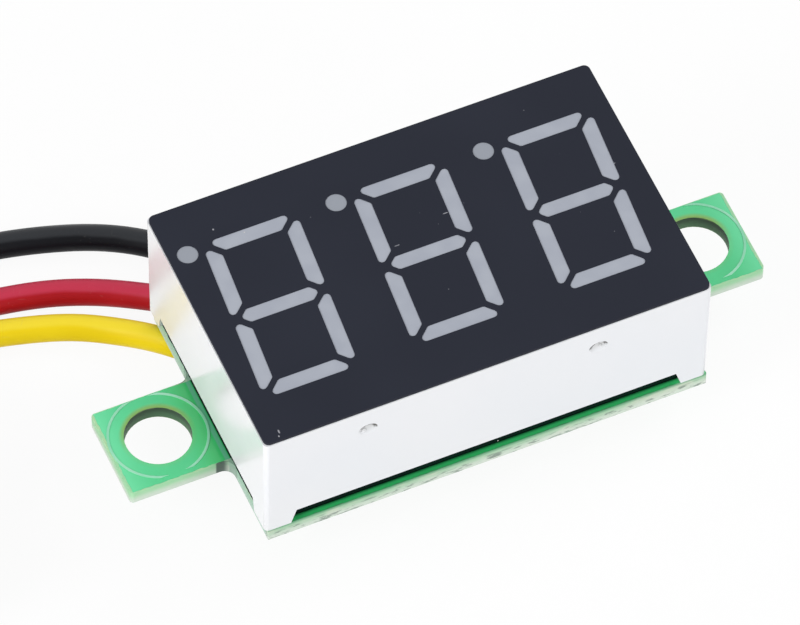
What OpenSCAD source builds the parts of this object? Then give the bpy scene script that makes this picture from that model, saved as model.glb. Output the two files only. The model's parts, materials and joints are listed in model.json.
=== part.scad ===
// Three-digit LED panel voltmeter. A moulded seven-segment display stands on
// a slim circuit board with two mounting ears. The components sit under the
// board, and three leads are soldered there and end in a tied coil.
// The face looks up (+Z), the ears reach along X, and z = 0 is the surface
// that the tails of the display's pins stand on. Millimetres.

/* [Display housing] */
// Length of the display package
display_l = 22.5; // [22:0.1:28]
// Width of the display package
display_w = 14; // [13.4:0.1:17]
// Height of the moulded housing, without the face film
housing_h = 7; // [6:0.1:9]
// Radius of the housing's upright edges
housing_edge_r = 0.25; // [0.2:0.05:1]
// Wall of the skirt round the back of the housing
skirt_wall = 0.4; // [0.4:0.1:1.1]
// Height of the notch between two corner feet
notch_h = 0.92; // [0.4:0.02:1]
// Length of a corner foot at its tip, along either wall
foot_l = 1.34; // [1:0.02:2]
// How far a foot widens from its tip to the top of the notch
foot_flare = 0.16; // [0:0.02:0.4]
// Diameter of the two gate marks on the near wall
gate_d = 0.9; // [0.5:0.1:1.4]
// Depth of a gate mark
gate_depth = 0.12; // [0.05:0.01:0.3]
// Depth of the gate marks' centres under the face film
gate_drop = 1.25; // [1:0.05:2]

/* [Face] */
// Thickness of the black face film
film_t = 0.15; // [0.1:0.05:0.3]
// How far the film's edge stays inside the housing's edge
film_inset = 0.05; // [0:0.05:0.3]
// Radius of the film's corners
film_corner_r = 0.3; // [0.2:0.05:1]
// How far the lit windows lie below the film's surface
window_recess = 0.03; // [0:0.01:0.08]

/* [Digits] */
// Number of digits
digit_count = 3; // [1:1:3]
// Distance between two digits
digit_pitch = 7.48; // [7.3:0.01:7.6]
// Height of a digit
digit_h = 9.14; // [8:0.02:10]
// Width of a digit, without its slant
digit_w = 4.76; // [4:0.02:5]
// Slant of a digit, in degrees
digit_slant = 4.8; // [0:0.2:6]
// Width of a segment
stroke = 0.76; // [0.5:0.02:1]
// Gap between two segments
segment_gap = 0.3; // [0.2:0.02:0.5]
// Radius of a segment's pointed ends
tip_r = 0.2; // [0.1:0.02:0.24]
// Radius of a segment's blunt corners
blunt_r = 0.12; // [0.05:0.01:0.2]
// Diameter of a decimal dot
dot_d = 1; // [0.6:0.1:1.2]
// Offset of a dot's centre from its digit's centre, along X
dot_dx = -2.81; // [-3:0.01:-2.75]
// Offset of a dot's centre from its digit's centre, along Y
dot_dy = 4.26; // [3.5:0.02:4.6]

/* [Inside the display] */
// Thickness of the board that carries the light-emitting dies
die_board_t = 0.8; // [0.4:0.1:1.2]
// Clearance round the die board in the skirt
die_board_gap = 0.1; // [0.05:0.05:0.3]
// Thickness of the potting behind the die board
potting_t = 1.8; // [1.2:0.1:2.4]
// Open space between the potting and the circuit board
under_gap = 0.1; // [0.1:0.1:0.8]
// Depth of a reflector well's straight mouth
well_mouth = 0.8; // [0.3:0.1:2]
// Length of a reflector well at its floor
well_floor_l = 1.4; // [0.8:0.1:2]
// Width of a decimal dot's well at its floor
dot_floor_d = 0.7; // [0.4:0.1:0.9]
// Edge of a light-emitting die
die_size = 0.3; // [0.2:0.02:0.36]
// Height of a light-emitting die
die_t = 0.2; // [0.1:0.02:0.3]

/* [Display pins] */
// Number of pin places in each row
pins_per_row = 6; // [4:1:6]
// Distance between two pins of a row
pin_pitch = 2.54; // [2.4:0.02:2.6]
// Distance between the two rows
pin_row_spacing = 10.16; // [9.8:0.02:10.6]
// Width of a pin, along its row
pin_w = 0.5; // [0.4:0.05:0.6]
// Thickness of a pin
pin_t = 0.3; // [0.2:0.05:0.4]
// Length of a pin's tail below the circuit board
tail_l = 2; // [1.95:0.05:2.5]
// Diameter of a soldered joint on the circuit board
joint_d = 1.6; // [1.3:0.05:1.7]
// Height of a soldered joint
joint_h = 0.9; // [0.6:0.05:1.2]

/* [Circuit board] */
// Thickness of the circuit board
board_t = 0.8; // [0.8:0.1:1.6]
// How far the board's ends stay inside the display's ends
board_inset_x = 0.1; // [0:0.05:0.5]
// How far the board's sides stay inside the display's sides
board_inset_y = 0.2; // [0:0.05:0.4]
// How far the board lies towards the right of the display
board_right = 0.1; // [0:0.05:0.1]
// How far the board lies towards the front of the display
board_forward = 0.1; // [0:0.05:0.2]
// Radius of the board's outer corners
board_corner_r = 0.2; // [0.1:0.05:0.6]
// Diameter of the drilled holes for the display's pins
pin_hole_d = 0.9; // [0.7:0.05:1]

/* [Mounting ears] */
// Length of an ear beyond the end of the board
ear_l = 5.05; // [4.75:0.05:8]
// Width of an ear
ear_w = 4.85; // [4.7:0.05:7]
// Diameter of the mounting hole, for an M3 screw
ear_hole_d = 3.2; // [2:0.1:3.4]
// Distance from the hole's centre to the ear's end
ear_hole_to_end = 2.45; // [2.45:0.05:3]
// Radius of the inner corners where an ear meets the board
ear_root_r = 0.55; // [0.3:0.05:0.8]
// Outer diameter of the printed ring round the hole
ring_d = 4.82; // [4:0.02:4.86]
// Width of the printed line
ring_w = 0.12; // [0.08:0.01:0.2]
// Thickness of the printed ink
ink_t = 0.03; // [0.02:0.01:0.05]
// Distance of the printed line from the ear's nearer side
ring_edge_gap = 0.07; // [0.05:0.01:0.2]

/* [Controller] */
// Length of the controller's body
controller_l = 8.65; // [8.4:0.05:9]
// Width of the controller's body
controller_w = 3.9; // [3.7:0.05:4]
// Height of the controller's body
controller_h = 1.35; // [1:0.05:1.45]
// Gap between the controller's body and the circuit board
controller_gap = 0.1; // [0.05:0.05:0.2]
// Width across the controller's leads
controller_span = 6; // [5.8:0.05:6.2]
// Number of leads on each side
controller_side_leads = 7; // [4:1:7]
// Distance between two leads
controller_pitch = 1.27; // [1.2:0.01:1.28]
// Width of a lead
controller_lead_w = 0.42; // [0.3:0.02:0.5]
// Thickness of a lead
controller_lead_t = 0.2; // [0.15:0.01:0.25]
// Length of a lead's foot
controller_foot_l = 0.6; // [0.5:0.05:0.8]

/* [Regulator and diode] */
// Length of the regulator's body
regulator_l = 4.5; // [4.3:0.05:4.7]
// Width of the regulator's body
regulator_w = 2.5; // [2.3:0.05:2.6]
// Height of the regulator's body
regulator_h = 1.5; // [1.2:0.05:1.6]
// Reach of the regulator's leads
regulator_reach = 0.95; // [0.7:0.05:1]
// Distance between the regulator's leads
regulator_pitch = 1.5; // [1.3:0.05:1.6]
// Width of a regulator lead
regulator_lead_w = 0.46; // [0.3:0.02:0.6]
// Thickness of the regulator's metal
regulator_metal_t = 0.4; // [0.3:0.02:0.45]
// Length of the diode's body
diode_l = 2.7; // [2.5:0.05:2.9]
// Width of the diode's body
diode_w = 1.6; // [1.4:0.05:1.7]
// Height of the diode's body
diode_h = 1.15; // [0.9:0.05:1.3]
// Reach of a diode lead
diode_reach = 0.5; // [0.4:0.05:0.6]
// Width of a diode lead
diode_lead_w = 0.6; // [0.4:0.05:0.8]
// Thickness of a diode lead
diode_lead_t = 0.15; // [0.1:0.01:0.2]

/* [Chip resistors and capacitors] */
// Length of a small chip resistor
small_chip_l = 1; // [0.9:0.02:1.1]
// Width of a small chip resistor
small_chip_w = 0.5; // [0.4:0.02:0.6]
// Height of a small chip resistor
small_chip_h = 0.35; // [0.3:0.01:0.4]
// Length of a large chip
large_chip_l = 1.6; // [1.5:0.02:1.7]
// Width of a large chip
large_chip_w = 0.8; // [0.7:0.02:0.9]
// Height of a large resistor
large_resistor_h = 0.45; // [0.4:0.01:0.5]
// Height of a large capacitor
large_capacitor_h = 0.8; // [0.6:0.02:0.9]
// Length of a chip's metal end, as part of its length
end_share = 0.2; // [0.15:0.01:0.25]
// Distance between two chips of a row
chip_row_pitch = 2.1; // [2:0.05:2.3]
// Number of segment resistors in each of the two rows
chips_per_row = 4; // [2:1:4]
// Clearance between the controller's leads and a chip row
chip_row_gap = 0.35; // [0.3:0.01:0.4]

/* [Trimmer] */
// Length of the trimmer's base
trimmer_l = 3.6; // [3.4:0.05:3.8]
// Width of the trimmer's base
trimmer_w = 3; // [2.8:0.05:3.2]
// Height of the trimmer's base
trimmer_h = 0.95; // [0.8:0.05:1]
// Chamfer on the corners of the base
trimmer_chamfer = 0.4; // [0.2:0.05:0.6]
// Diameter of the rotor's disc
rotor_d = 2.3; // [1.8:0.05:2.6]
// Thickness of the rotor's disc
rotor_t = 0.35; // [0.3:0.01:0.45]
// Diameter of the rotor's spindle
spindle_d = 0.9; // [0.7:0.05:1]
// Diameter of the spindle's riveted head
rivet_d = 1.5; // [1.3:0.05:1.7]
// Thickness of the riveted head
rivet_t = 0.15; // [0.1:0.01:0.2]
// Running clearance round the spindle and its head
running_gap = 0.04; // [0.02:0.01:0.06]
// Length of an arm of the screwdriver cross
slot_l = 1.5; // [1:0.05:1.7]
// Width of the screwdriver cross
slot_w = 0.3; // [0.2:0.02:0.4]
// Depth of the screwdriver cross
slot_depth = 0.2; // [0.1:0.01:0.25]
// Width of a trimmer terminal
terminal_w = 0.6; // [0.4:0.05:0.8]
// Height of a trimmer terminal
terminal_h = 0.5; // [0.3:0.05:0.6]
// Reach of a trimmer terminal
terminal_reach = 0.3; // [0.2:0.05:0.4]

/* [Leads] */
// Diameter of a lead's insulation
lead_d = 1.3; // [1.1:0.05:1.3]
// Diameter of a lead's tinned conductor
conductor_d = 0.5; // [0.3:0.05:0.6]
// Length of the stripped free end
stripped_l = 3; // [2:0.5:4]
// Width of a solder pad
pad_w = 1.4; // [1.2:0.05:1.5]
// Length of a solder pad
pad_l = 1.9; // [1.6:0.05:2.2]
// Thickness of a solder pad
pad_t = 0.05; // [0.03:0.01:0.08]
// Radius of the solder mound on a pad
mound_r = 0.7; // [0.6:0.05:0.75]
// Turns of the black lead in the coil
black_turns = 2.05; // [1:0.05:3]
// Turns of the red lead in the coil
red_turns = 2.5; // [1:0.05:3]
// Turns of the yellow lead in the coil
yellow_turns = 3.1; // [1:0.05:4]
// Rise of a lead in one turn of the coil
coil_rise = 1.32; // [1.3:0.01:1.5]
// Thickness of the coil's tie
tie_t = 0.2; // [0.1:0.05:0.4]
// Width of the coil's tie
tie_w = 2.4; // [1:0.1:4]

/* [Hidden] */
$fn = 32;
overlap = 0.1;          // how far a cutter reaches past the face that it cuts
slit = 0.05;            // clearance between neighbours that don't touch

// Heights of the stack
board_z = tail_l;
board_top = board_z + board_t;
housing_top = board_top + housing_h;
face_top = housing_top + film_t;
potting_z = board_top + under_gap;
die_board_z = potting_z + potting_t;
well_z = die_board_z + die_board_t;
well_depth = housing_top - well_z;

// Plan of the display
cavity_l = display_l - 2 * skirt_wall;
cavity_w = display_w - 2 * skirt_wall;
gate_x = [-6.1, 5.5];

// Plan of the circuit board
board_l = display_l - 2 * board_inset_x;
board_w = display_w - 2 * board_inset_y;
ear_end = board_l / 2 + ear_l;
ear_hole_x = ear_end - ear_hole_to_end;
board_at = [board_right, -board_forward];
HOLE_PLACES = [for (side = [-1, 1]) [board_right + side * ear_hole_x, 0]];

// Plan of a digit, from its own centre and before its slant
half_w = digit_w / 2;
half_h = digit_h / 2;
corner_cut = segment_gap / sqrt(2);
bar_tip = half_w - corner_cut;
middle_tip = half_w - 2 * corner_cut;
TOP_BAR = [[-bar_tip, half_h], [bar_tip, half_h],
           [bar_tip - stroke, half_h - stroke], [stroke - bar_tip, half_h - stroke]];
MIDDLE_BAR = [[-middle_tip, 0], [stroke / 2 - middle_tip, stroke / 2],
              [middle_tip - stroke / 2, stroke / 2], [middle_tip, 0],
              [middle_tip - stroke / 2, -stroke / 2], [stroke / 2 - middle_tip, -stroke / 2]];
RIGHT_POST = [[half_w, 0], [half_w, half_h - corner_cut],
              [half_w - stroke, half_h - corner_cut - stroke], [half_w - stroke, stroke]];
SEGMENTS = [TOP_BAR, MIDDLE_BAR, flip_y(TOP_BAR), RIGHT_POST,
            flip_x(RIGHT_POST), flip_y(RIGHT_POST), flip_x(flip_y(RIGHT_POST))];
BARS = 3;               // the first three segments lie across, the rest stand
bar_y = [half_h - stroke / 2, 0, stroke / 2 - half_h];
post_x = half_w - stroke / 2;
post_y = (half_h - corner_cut) / 2;
POST_SIDES = [[1, 1], [-1, 1], [1, -1], [-1, -1]];
digit_x = [for (i = [0:digit_count - 1]) (i - (digit_count - 1) / 2) * digit_pitch];

// Places of the display's pins: the far row lacks its first pin
pin_x = [for (i = [0:pins_per_row - 1]) (i - (pins_per_row - 1) / 2) * pin_pitch];
PIN_PLACES = concat([for (x = pin_x) [x, -pin_row_spacing / 2]],
                    [for (i = [1:pins_per_row - 1]) [pin_x[i], pin_row_spacing / 2]]);

// Places of the components on the back of the board
controller_at = [1.3, 0];
regulator_at = [-8.6, -0.9];
diode_at = [-4.6, -1.6];
trimmer_at = [8.3, 0.9];
DIVIDER_AT = [[7.4, -2.4], [9.8, -2.4], [9.8, 3.9]];
CAPACITOR_AT = [[-8.6, -4.3], [-6.2, -3.75], [8.6, -3.8]];
chip_row_y = controller_span / 2 + chip_row_gap + small_chip_w / 2;
CHIP_ROW_AT = [for (side = [-1, 1], i = [0:chips_per_row - 1])
    controller_at + [(i - (chips_per_row - 1) / 2) * chip_row_pitch, side * chip_row_y]];

// Leads: the pads' places, then each lead's route from its pad to the coil
BLACK_PAD = [-5.4, 3.8];
RED_PAD = [-7.2, 3.8];
YELLOW_PAD = [-9, 3.8];
BLACK_ROUTE = [[-5.4, 4.9, 1.3], [-5.5, 6, 1.3], [-5.9, 7.3, 1.15], [-6.7, 8.9, 0.85],
               [-7.9, 10.5, 0.65], [-9.3, 11.8, 0.65], [-10.5, 12.6, 0.65],
               [-11.9, 13.3, 0.65], [-13.8, 13.9, 0.65], [-15.7, 14.4, 0.65],
               [-18, 14.7, 0.65], [-21, 14.7, 0.65], [-24, 14.3, 0.65],
               [-27, 13.7, 0.7], [-29.5, 13.3, 0.8], [-32, 13.15, 0.85]];
RED_ROUTE = [[-7.3, 4.9, 1.3], [-7.6, 5.9, 1.3], [-8.2, 6.9, 1.15], [-9.2, 7.9, 0.85],
             [-10.4, 8.8, 0.65], [-11.6, 9.6, 0.65], [-13, 10.3, 0.65], [-14, 10.7, 0.65],
             [-15, 11, 0.65], [-17, 11.4, 0.65], [-19.5, 11.7, 0.65], [-22, 11.9, 0.65],
             [-24.5, 11.95, 0.65], [-27, 11.9, 0.7], [-29.5, 11.85, 0.8],
             [-32, 11.8, 0.85]];
YELLOW_ROUTE = [[-9.8, 4.7, 1.3], [-10.4, 5.3, 1.3], [-10.9, 5.9, 1.25], [-11.7, 6.8, 0.95],
                [-12.6, 7.6, 0.65], [-13.6, 8.3, 0.65], [-14.7, 8.8, 0.65],
                [-16.2, 9.3, 0.65], [-17.7, 9.7, 0.65], [-20, 10.15, 0.65],
                [-22.5, 10.4, 0.65], [-25, 10.5, 0.65], [-27.5, 10.5, 0.7],
                [-29.5, 10.5, 0.75], [-32, 10.45, 0.85]];
coil_at = [-32, 4];
BLACK_COIL_R = 9.15;
RED_COIL_R = 7.8;
YELLOW_COIL_R = 6.45;
coil_start = 90;        // the angle at which a lead joins the coil
tie_angle = 315;        // the angle at which the tie holds the coil
LEAD_SIDES = 8;

// ---------------------------------------------------------------- outlines

function flip_x(points) = [for (p = points) [-p.x, p.y]];
function flip_y(points) = [for (p = points) [p.x, -p.y]];
function unit(v) = v / norm(v);
function slanted(points) = [for (p = points) [p.x + p.y * tan(digit_slant), p.y]];

// The arc that rounds the corner at b, between the sides towards a and c
function corner_arc(a, b, c, r, steps) =
    let (u = unit(a - b), v = unit(c - b), half = acos(u * v) / 2,
         centre = b + unit(u + v) * r / sin(half),
         from = b + u * r / tan(half) - centre,
         turn = (cross(u, v) > 0 ? 1 : -1) * (180 - 2 * half))
    [for (i = [0:steps])
        let (t = -turn * i / steps)
        centre + [from.x * cos(t) - from.y * sin(t), from.x * sin(t) + from.y * cos(t)]];

// An outline with its pointed corners rounded in tip_steps and the others cut
function soft_outline(points, tip_steps) =
    let (n = len(points))
    [for (i = [0:n - 1])
        let (a = points[(i + n - 1) % n], b = points[i], c = points[(i + 1) % n],
             pointed = unit(a - b) * unit(c - b) > -0.3)
        each corner_arc(a, b, c, pointed ? tip_r : blunt_r, pointed ? tip_steps : 1)];

module rounded_plate(l, w, r) {
    square([l - 2 * r, w], center = true);
    square([l, w - 2 * r], center = true);
    for (sx = [-1, 1], sy = [-1, 1])
        translate([sx * (l / 2 - r), sy * (w / 2 - r)]) circle(r);
}

module segment_windows(tip_steps) {
    for (x = digit_x, outline = SEGMENTS)
        translate([x, 0]) polygon(slanted(soft_outline(outline, tip_steps)));
}

module dot_places() {
    for (x = digit_x) translate([x + dot_dx, dot_dy, 0]) children();
}

// ----------------------------------------------------------------- display

// Side view of a well: straight at its mouth, then narrowing to its floor
module well_profile(mouth_l) {
    polygon([[-well_floor_l / 2, 0], [well_floor_l / 2, 0],
             [mouth_l / 2, well_depth - well_mouth], [mouth_l / 2, well_depth],
             [-mouth_l / 2, well_depth], [-mouth_l / 2, well_depth - well_mouth]]);
}

module bar_well(i) {
    intersection() {
        linear_extrude(well_depth) polygon(slanted(soft_outline(SEGMENTS[i], 1)));
        translate([bar_y[i] * tan(digit_slant), bar_y[i], 0])
            rotate([90, 0, 0])
                linear_extrude(2 * stroke, center = true) well_profile(2 * bar_tip);
    }
}

module post_well(i) {
    intersection() {
        linear_extrude(well_depth) polygon(slanted(soft_outline(SEGMENTS[BARS + i], 1)));
        translate([POST_SIDES[i].x * post_x, POST_SIDES[i].y * post_y, 0])
            rotate([90, 0, 90])
                linear_extrude(2 * digit_w, center = true) well_profile(half_h - corner_cut);
    }
}

// The wells of all the digits, from the die board up to the housing's top
module wells() {
    translate([0, 0, well_z]) {
        for (x = digit_x) translate([x, 0, 0]) {
            for (i = [0:BARS - 1]) bar_well(i);
            for (i = [0:len(POST_SIDES) - 1]) post_well(i);
        }
        dot_places() cylinder(h = well_depth, d1 = dot_floor_d, d2 = dot_d);
    }
}

// The four notches that leave a foot at each corner of the skirt
module foot_notches() {
    for (side = [[display_l, display_w, 0], [display_w, display_l, 90]])
        translate([0, 0, board_top])
            rotate([90, 0, side.z])
                linear_extrude(side.y + 2 * overlap, center = true)
                    polygon([[foot_l - side.x / 2, -overlap], [side.x / 2 - foot_l, -overlap],
                             [side.x / 2 - foot_l, 0],
                             [side.x / 2 - foot_l - foot_flare, notch_h],
                             [foot_l + foot_flare - side.x / 2, notch_h],
                             [foot_l - side.x / 2, 0]]);
}

module gate_marks() {
    for (x = gate_x)
        translate([x, gate_depth - display_w / 2, housing_top - gate_drop])
            rotate([90, 0, 0]) cylinder(h = gate_depth + overlap, d = gate_d);
}

module display_housing() {
    color("whitesmoke")
        difference() {
            translate([0, 0, board_top])
                linear_extrude(housing_h) rounded_plate(display_l, display_w, housing_edge_r);
            translate([-cavity_l / 2, -cavity_w / 2, board_top - overlap])
                cube([cavity_l, cavity_w, well_z - board_top + overlap]);
            wells();
            foot_notches();
            gate_marks();
        }
}

module face_film() {
    color("#303238")
        translate([0, 0, housing_top])
            linear_extrude(film_t)
                difference() {
                    rounded_plate(display_l - 2 * film_inset, display_w - 2 * film_inset,
                                  film_corner_r);
                    segment_windows(4);
                    dot_places() circle(d = dot_d);
                }
}

module segment_resin() {
    color("#a8abb4")
        difference() {
            union() {
                wells();
                translate([0, 0, housing_top])
                    linear_extrude(film_t - window_recess) {
                        segment_windows(4);
                        dot_places() circle(d = dot_d);
                    }
            }
            dies();
        }
}

// One die in the middle of each well's floor
module dies() {
    translate([0, 0, well_z]) {
        for (x = digit_x) translate([x, 0, 0]) {
            for (y = bar_y) die_at([y * tan(digit_slant), y]);
            for (s = POST_SIDES)
                die_at([s.x * post_x + s.y * post_y * tan(digit_slant), s.y * post_y]);
        }
        dot_places() die_at([0, 0]);
    }
}

module die_at(place) {
    translate([place.x - die_size / 2, place.y - die_size / 2, 0])
        cube([die_size, die_size, die_t]);
}

module light_dies() {
    color("goldenrod") dies();
}

module pin_shapes() {
    for (p = PIN_PLACES)
        translate([p.x - pin_w / 2, p.y - pin_t / 2, 0]) cube([pin_w, pin_t, well_z]);
}

module die_board() {
    color("darkolivegreen")
        difference() {
            translate([die_board_gap - cavity_l / 2, die_board_gap - cavity_w / 2, die_board_z])
                cube([cavity_l - 2 * die_board_gap, cavity_w - 2 * die_board_gap, die_board_t]);
            pin_shapes();
        }
}

module back_potting() {
    color("#1c2420")
        difference() {
            translate([-cavity_l / 2, -cavity_w / 2, potting_z])
                cube([cavity_l, cavity_w, potting_t]);
            pin_shapes();
        }
}

module display_pins() {
    color("silver") pin_shapes();
}

// Soldered joints: a fillet of solder round each pin's tail
module pin_solder() {
    color("lightgray")
        difference() {
            for (p = PIN_PLACES)
                translate([p.x, p.y, board_z - joint_h])
                    cylinder(h = joint_h, d1 = joint_d / 2, d2 = joint_d, $fn = 16);
            pin_shapes();
        }
}

// ----------------------------------------------------------- circuit board

module board_outline() {
    translate(board_at) {
        rounded_plate(board_l, board_w, board_corner_r);
        rounded_plate(2 * ear_end, ear_w, board_corner_r);
        for (sx = [0, 1], sy = [0, 1])
            mirror([sx, 0]) mirror([0, sy])
                translate([board_l / 2, ear_w / 2])
                    difference() {
                        translate([-overlap, -overlap]) square(ear_root_r + overlap);
                        translate([ear_root_r, ear_root_r]) circle(ear_root_r);
                    }
    }
}

module circuit_board() {
    color("mediumseagreen")
        difference() {
            translate([0, 0, board_z]) linear_extrude(board_t) board_outline();
            for (p = HOLE_PLACES)
                translate([p.x, p.y, board_z - overlap])
                    cylinder(h = board_t + 2 * overlap, d = ear_hole_d);
            for (p = PIN_PLACES)
                translate([p.x, p.y, board_z - overlap])
                    cylinder(h = board_t + 2 * overlap, d = pin_hole_d, $fn = 16);
        }
}

module silkscreen_rings() {
    clear_w = ear_w - 2 * (board_forward + ring_edge_gap);
    color("white")
        for (p = HOLE_PLACES)
            translate([p.x, p.y, board_top])
                intersection() {
                    difference() {
                        cylinder(h = ink_t, d = ring_d);
                        translate([0, 0, -overlap])
                            cylinder(h = ink_t + 2 * overlap, d = ring_d - 2 * ring_w);
                    }
                    translate([-ring_d, -clear_w / 2, -overlap])
                        cube([2 * ring_d, clear_w, ink_t + 2 * overlap]);
                }
}

// Turns what is modelled standing up so that it hangs from the board's back
module on_back(place) {
    translate([place.x, place.y, board_z]) mirror([0, 0, 1]) children();
}

// ----------------------------------------------------- packaged components

// A moulded body whose sides lean in above and below the line of its leads
module moulded_body(l, w, h, lean) {
    rotate([90, 0, 90])
        linear_extrude(l, center = true)
            polygon([[lean - w / 2, 0], [w / 2 - lean, 0], [w / 2, h / 2], [w / 2 - lean, h],
                     [lean - w / 2, h], [-w / 2, h / 2]]);
}

module controller_body() {
    dimple_d = 0.8;
    dimple_depth = 0.1;
    color("#26282b")
        on_back(controller_at)
            translate([0, 0, controller_gap])
                difference() {
                    moulded_body(controller_l, controller_w, controller_h, 0.12);
                    translate([dimple_d - controller_l / 2, dimple_d - controller_w / 2,
                               controller_h - dimple_depth])
                        cylinder(h = dimple_depth + overlap, d = dimple_d, $fn = 16);
                }
}

// Side view of a gull-wing lead, from the body's side down to its foot
module gull_wing(body_w, span, root_z, foot, t) {
    knee = span / 2 - foot;
    rotate([90, 0, 0])
        polygon_lead([[body_w / 2, root_z], [knee - t, root_z], [knee, 0], [span / 2, 0],
                      [span / 2, t], [knee + t, t], [knee, root_z + t],
                      [body_w / 2, root_z + t]]);
}

module polygon_lead(points) {
    linear_extrude(controller_lead_w, center = true) polygon(points);
}

module controller_leads() {
    root_z = controller_gap + controller_h / 2 - controller_lead_t / 2;
    color("silver")
        on_back(controller_at)
            for (side = [90, -90], i = [0:controller_side_leads - 1])
                translate([(i - (controller_side_leads - 1) / 2) * controller_pitch, 0, 0])
                    rotate([0, 0, side])
                        gull_wing(controller_w, controller_span, root_z,
                                  controller_foot_l, controller_lead_t);
}

module regulator_body() {
    color("#26282b")
        on_back(regulator_at)
            rotate([0, 0, 90])
                translate([0, 0, slit]) moulded_body(regulator_l, regulator_w, regulator_h, 0.12);
}

// Three leads on one side, and the cooling tab on the other
module regulator_leads() {
    tab_w = 1.7;
    color("silver")
        on_back(regulator_at) {
            for (i = [-1, 0, 1])
                translate([regulator_w / 2, i * regulator_pitch - regulator_lead_w / 2, 0])
                    cube([regulator_reach, regulator_lead_w, regulator_metal_t]);
            translate([-regulator_w / 2 - regulator_reach / 2, -tab_w / 2, 0])
                cube([regulator_reach / 2, tab_w, regulator_metal_t]);
        }
}

module diode_body() {
    color("#2b2b2d")
        on_back(diode_at)
            rotate([0, 0, 90])
                translate([0, 0, diode_lead_t])
                    moulded_body(diode_l, diode_w, diode_h - diode_lead_t, 0.1);
}

module diode_leads() {
    tuck = 0.4;
    color("silver")
        on_back(diode_at)
            for (side = [0, 1])
                mirror([0, side, 0])
                    translate([-diode_lead_w / 2, diode_l / 2 - tuck, 0])
                        cube([diode_lead_w, diode_reach + tuck, diode_lead_t]);
}

// The middle of a chip, between its two metal ends
module chip_body(l, w, h) {
    body_l = l * (1 - 2 * end_share);
    translate([-body_l / 2, -w / 2, 0]) cube([body_l, w, h]);
}

module chip_ends(l, w, h) {
    for (side = [0, 1])
        mirror([side, 0, 0])
            translate([l / 2 - l * end_share, -w / 2, 0]) cube([l * end_share, w, h]);
}

module resistor_bodies() {
    color("#1f2023") {
        for (p = CHIP_ROW_AT) on_back(p) chip_body(small_chip_l, small_chip_w, small_chip_h);
        for (p = DIVIDER_AT) on_back(p) chip_body(large_chip_l, large_chip_w, large_resistor_h);
    }
}

module capacitor_bodies() {
    color("#b08d62")
        for (p = CAPACITOR_AT)
            on_back(p) chip_body(large_chip_l, large_chip_w, large_capacitor_h);
}

module chip_terminals() {
    color("silver") {
        for (p = CHIP_ROW_AT) on_back(p) chip_ends(small_chip_l, small_chip_w, small_chip_h);
        for (p = DIVIDER_AT) on_back(p) chip_ends(large_chip_l, large_chip_w, large_resistor_h);
        for (p = CAPACITOR_AT)
            on_back(p) chip_ends(large_chip_l, large_chip_w, large_capacitor_h);
    }
}

// ----------------------------------------------------------------- trimmer

module trimmer_outline() {
    l = trimmer_l / 2;
    w = trimmer_w / 2;
    c = trimmer_chamfer;
    polygon([[-w, -l], [w, -l], [w, l - c], [w - c, l], [c - w, l], [-w, l - c]]);
}

// The base: a bore for the spindle, with a counterbore for its riveted head
module trimmer_base() {
    color("lightsteelblue")
        on_back(trimmer_at)
            difference() {
                linear_extrude(trimmer_h) trimmer_outline();
                translate([0, 0, -overlap])
                    cylinder(h = trimmer_h + 2 * overlap, d = spindle_d + 2 * running_gap);
                translate([0, 0, -overlap])
                    cylinder(h = rivet_t + 2 * running_gap + overlap,
                             d = rivet_d + 2 * running_gap);
            }
}

// The rotor: a slotted disc on a spindle that is riveted behind the base
module trimmer_rotor() {
    disc_z = trimmer_h + running_gap;
    color("gainsboro")
        on_back(trimmer_at)
            difference() {
                union() {
                    translate([0, 0, running_gap]) cylinder(h = rivet_t, d = rivet_d);
                    translate([0, 0, running_gap]) cylinder(h = disc_z, d = spindle_d);
                    translate([0, 0, disc_z]) cylinder(h = rotor_t, d = rotor_d);
                }
                for (turn = [0, 90])
                    rotate([0, 0, turn])
                        translate([-slot_l / 2, -slot_w / 2, disc_z + rotor_t - slot_depth])
                            cube([slot_l, slot_w, slot_depth + overlap]);
            }
}

// Three terminals: two at one end of the base and one at the other
module trimmer_terminals() {
    color("silver")
        on_back(trimmer_at) {
            for (x = [-0.95, 0.95])
                translate([x - terminal_w / 2, -trimmer_l / 2 - terminal_reach, 0])
                    cube([terminal_w, terminal_reach, terminal_h]);
            translate([-terminal_w / 2, trimmer_l / 2, 0])
                cube([terminal_w, terminal_reach, terminal_h]);
        }
}

// ------------------------------------------------------------------- leads

module lead_pads() {
    color("silver")
        for (p = [BLACK_PAD, RED_PAD, YELLOW_PAD])
            on_back(p)
                translate([-pad_w / 2, -pad_l / 2, 0]) cube([pad_w, pad_l, pad_t]);
}

// A mound of solder on a pad, with the tinned conductor that runs into it
module soldered_end(pad, start) {
    run = [start.x - pad.x, start.y - pad.y, 0];
    mound_h = mound_r * 1.5;
    translate([pad.x, pad.y, board_z - pad_t - mound_h])
        intersection() {
            translate([0, 0, mound_r]) sphere(mound_r);
            translate([-mound_r, -mound_r, 0]) cube([2 * mound_r, 2 * mound_r, mound_h]);
        }
    translate([pad.x, pad.y, start.z])
        rotate([0, 90, atan2(run.y, run.x)]) cylinder(h = norm(run), d = conductor_d, $fn = 16);
}

module lead_solder() {
    color("lightgray") {
        soldered_end(BLACK_PAD, BLACK_ROUTE[0]);
        soldered_end(RED_PAD, RED_ROUTE[0]);
        soldered_end(YELLOW_PAD, YELLOW_ROUTE[0]);
    }
}

// The direction in which a route runs at its point i
function heading(route, i) =
    unit(route[min(i + 1, len(route) - 1)] - route[max(i - 1, 0)]);

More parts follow.
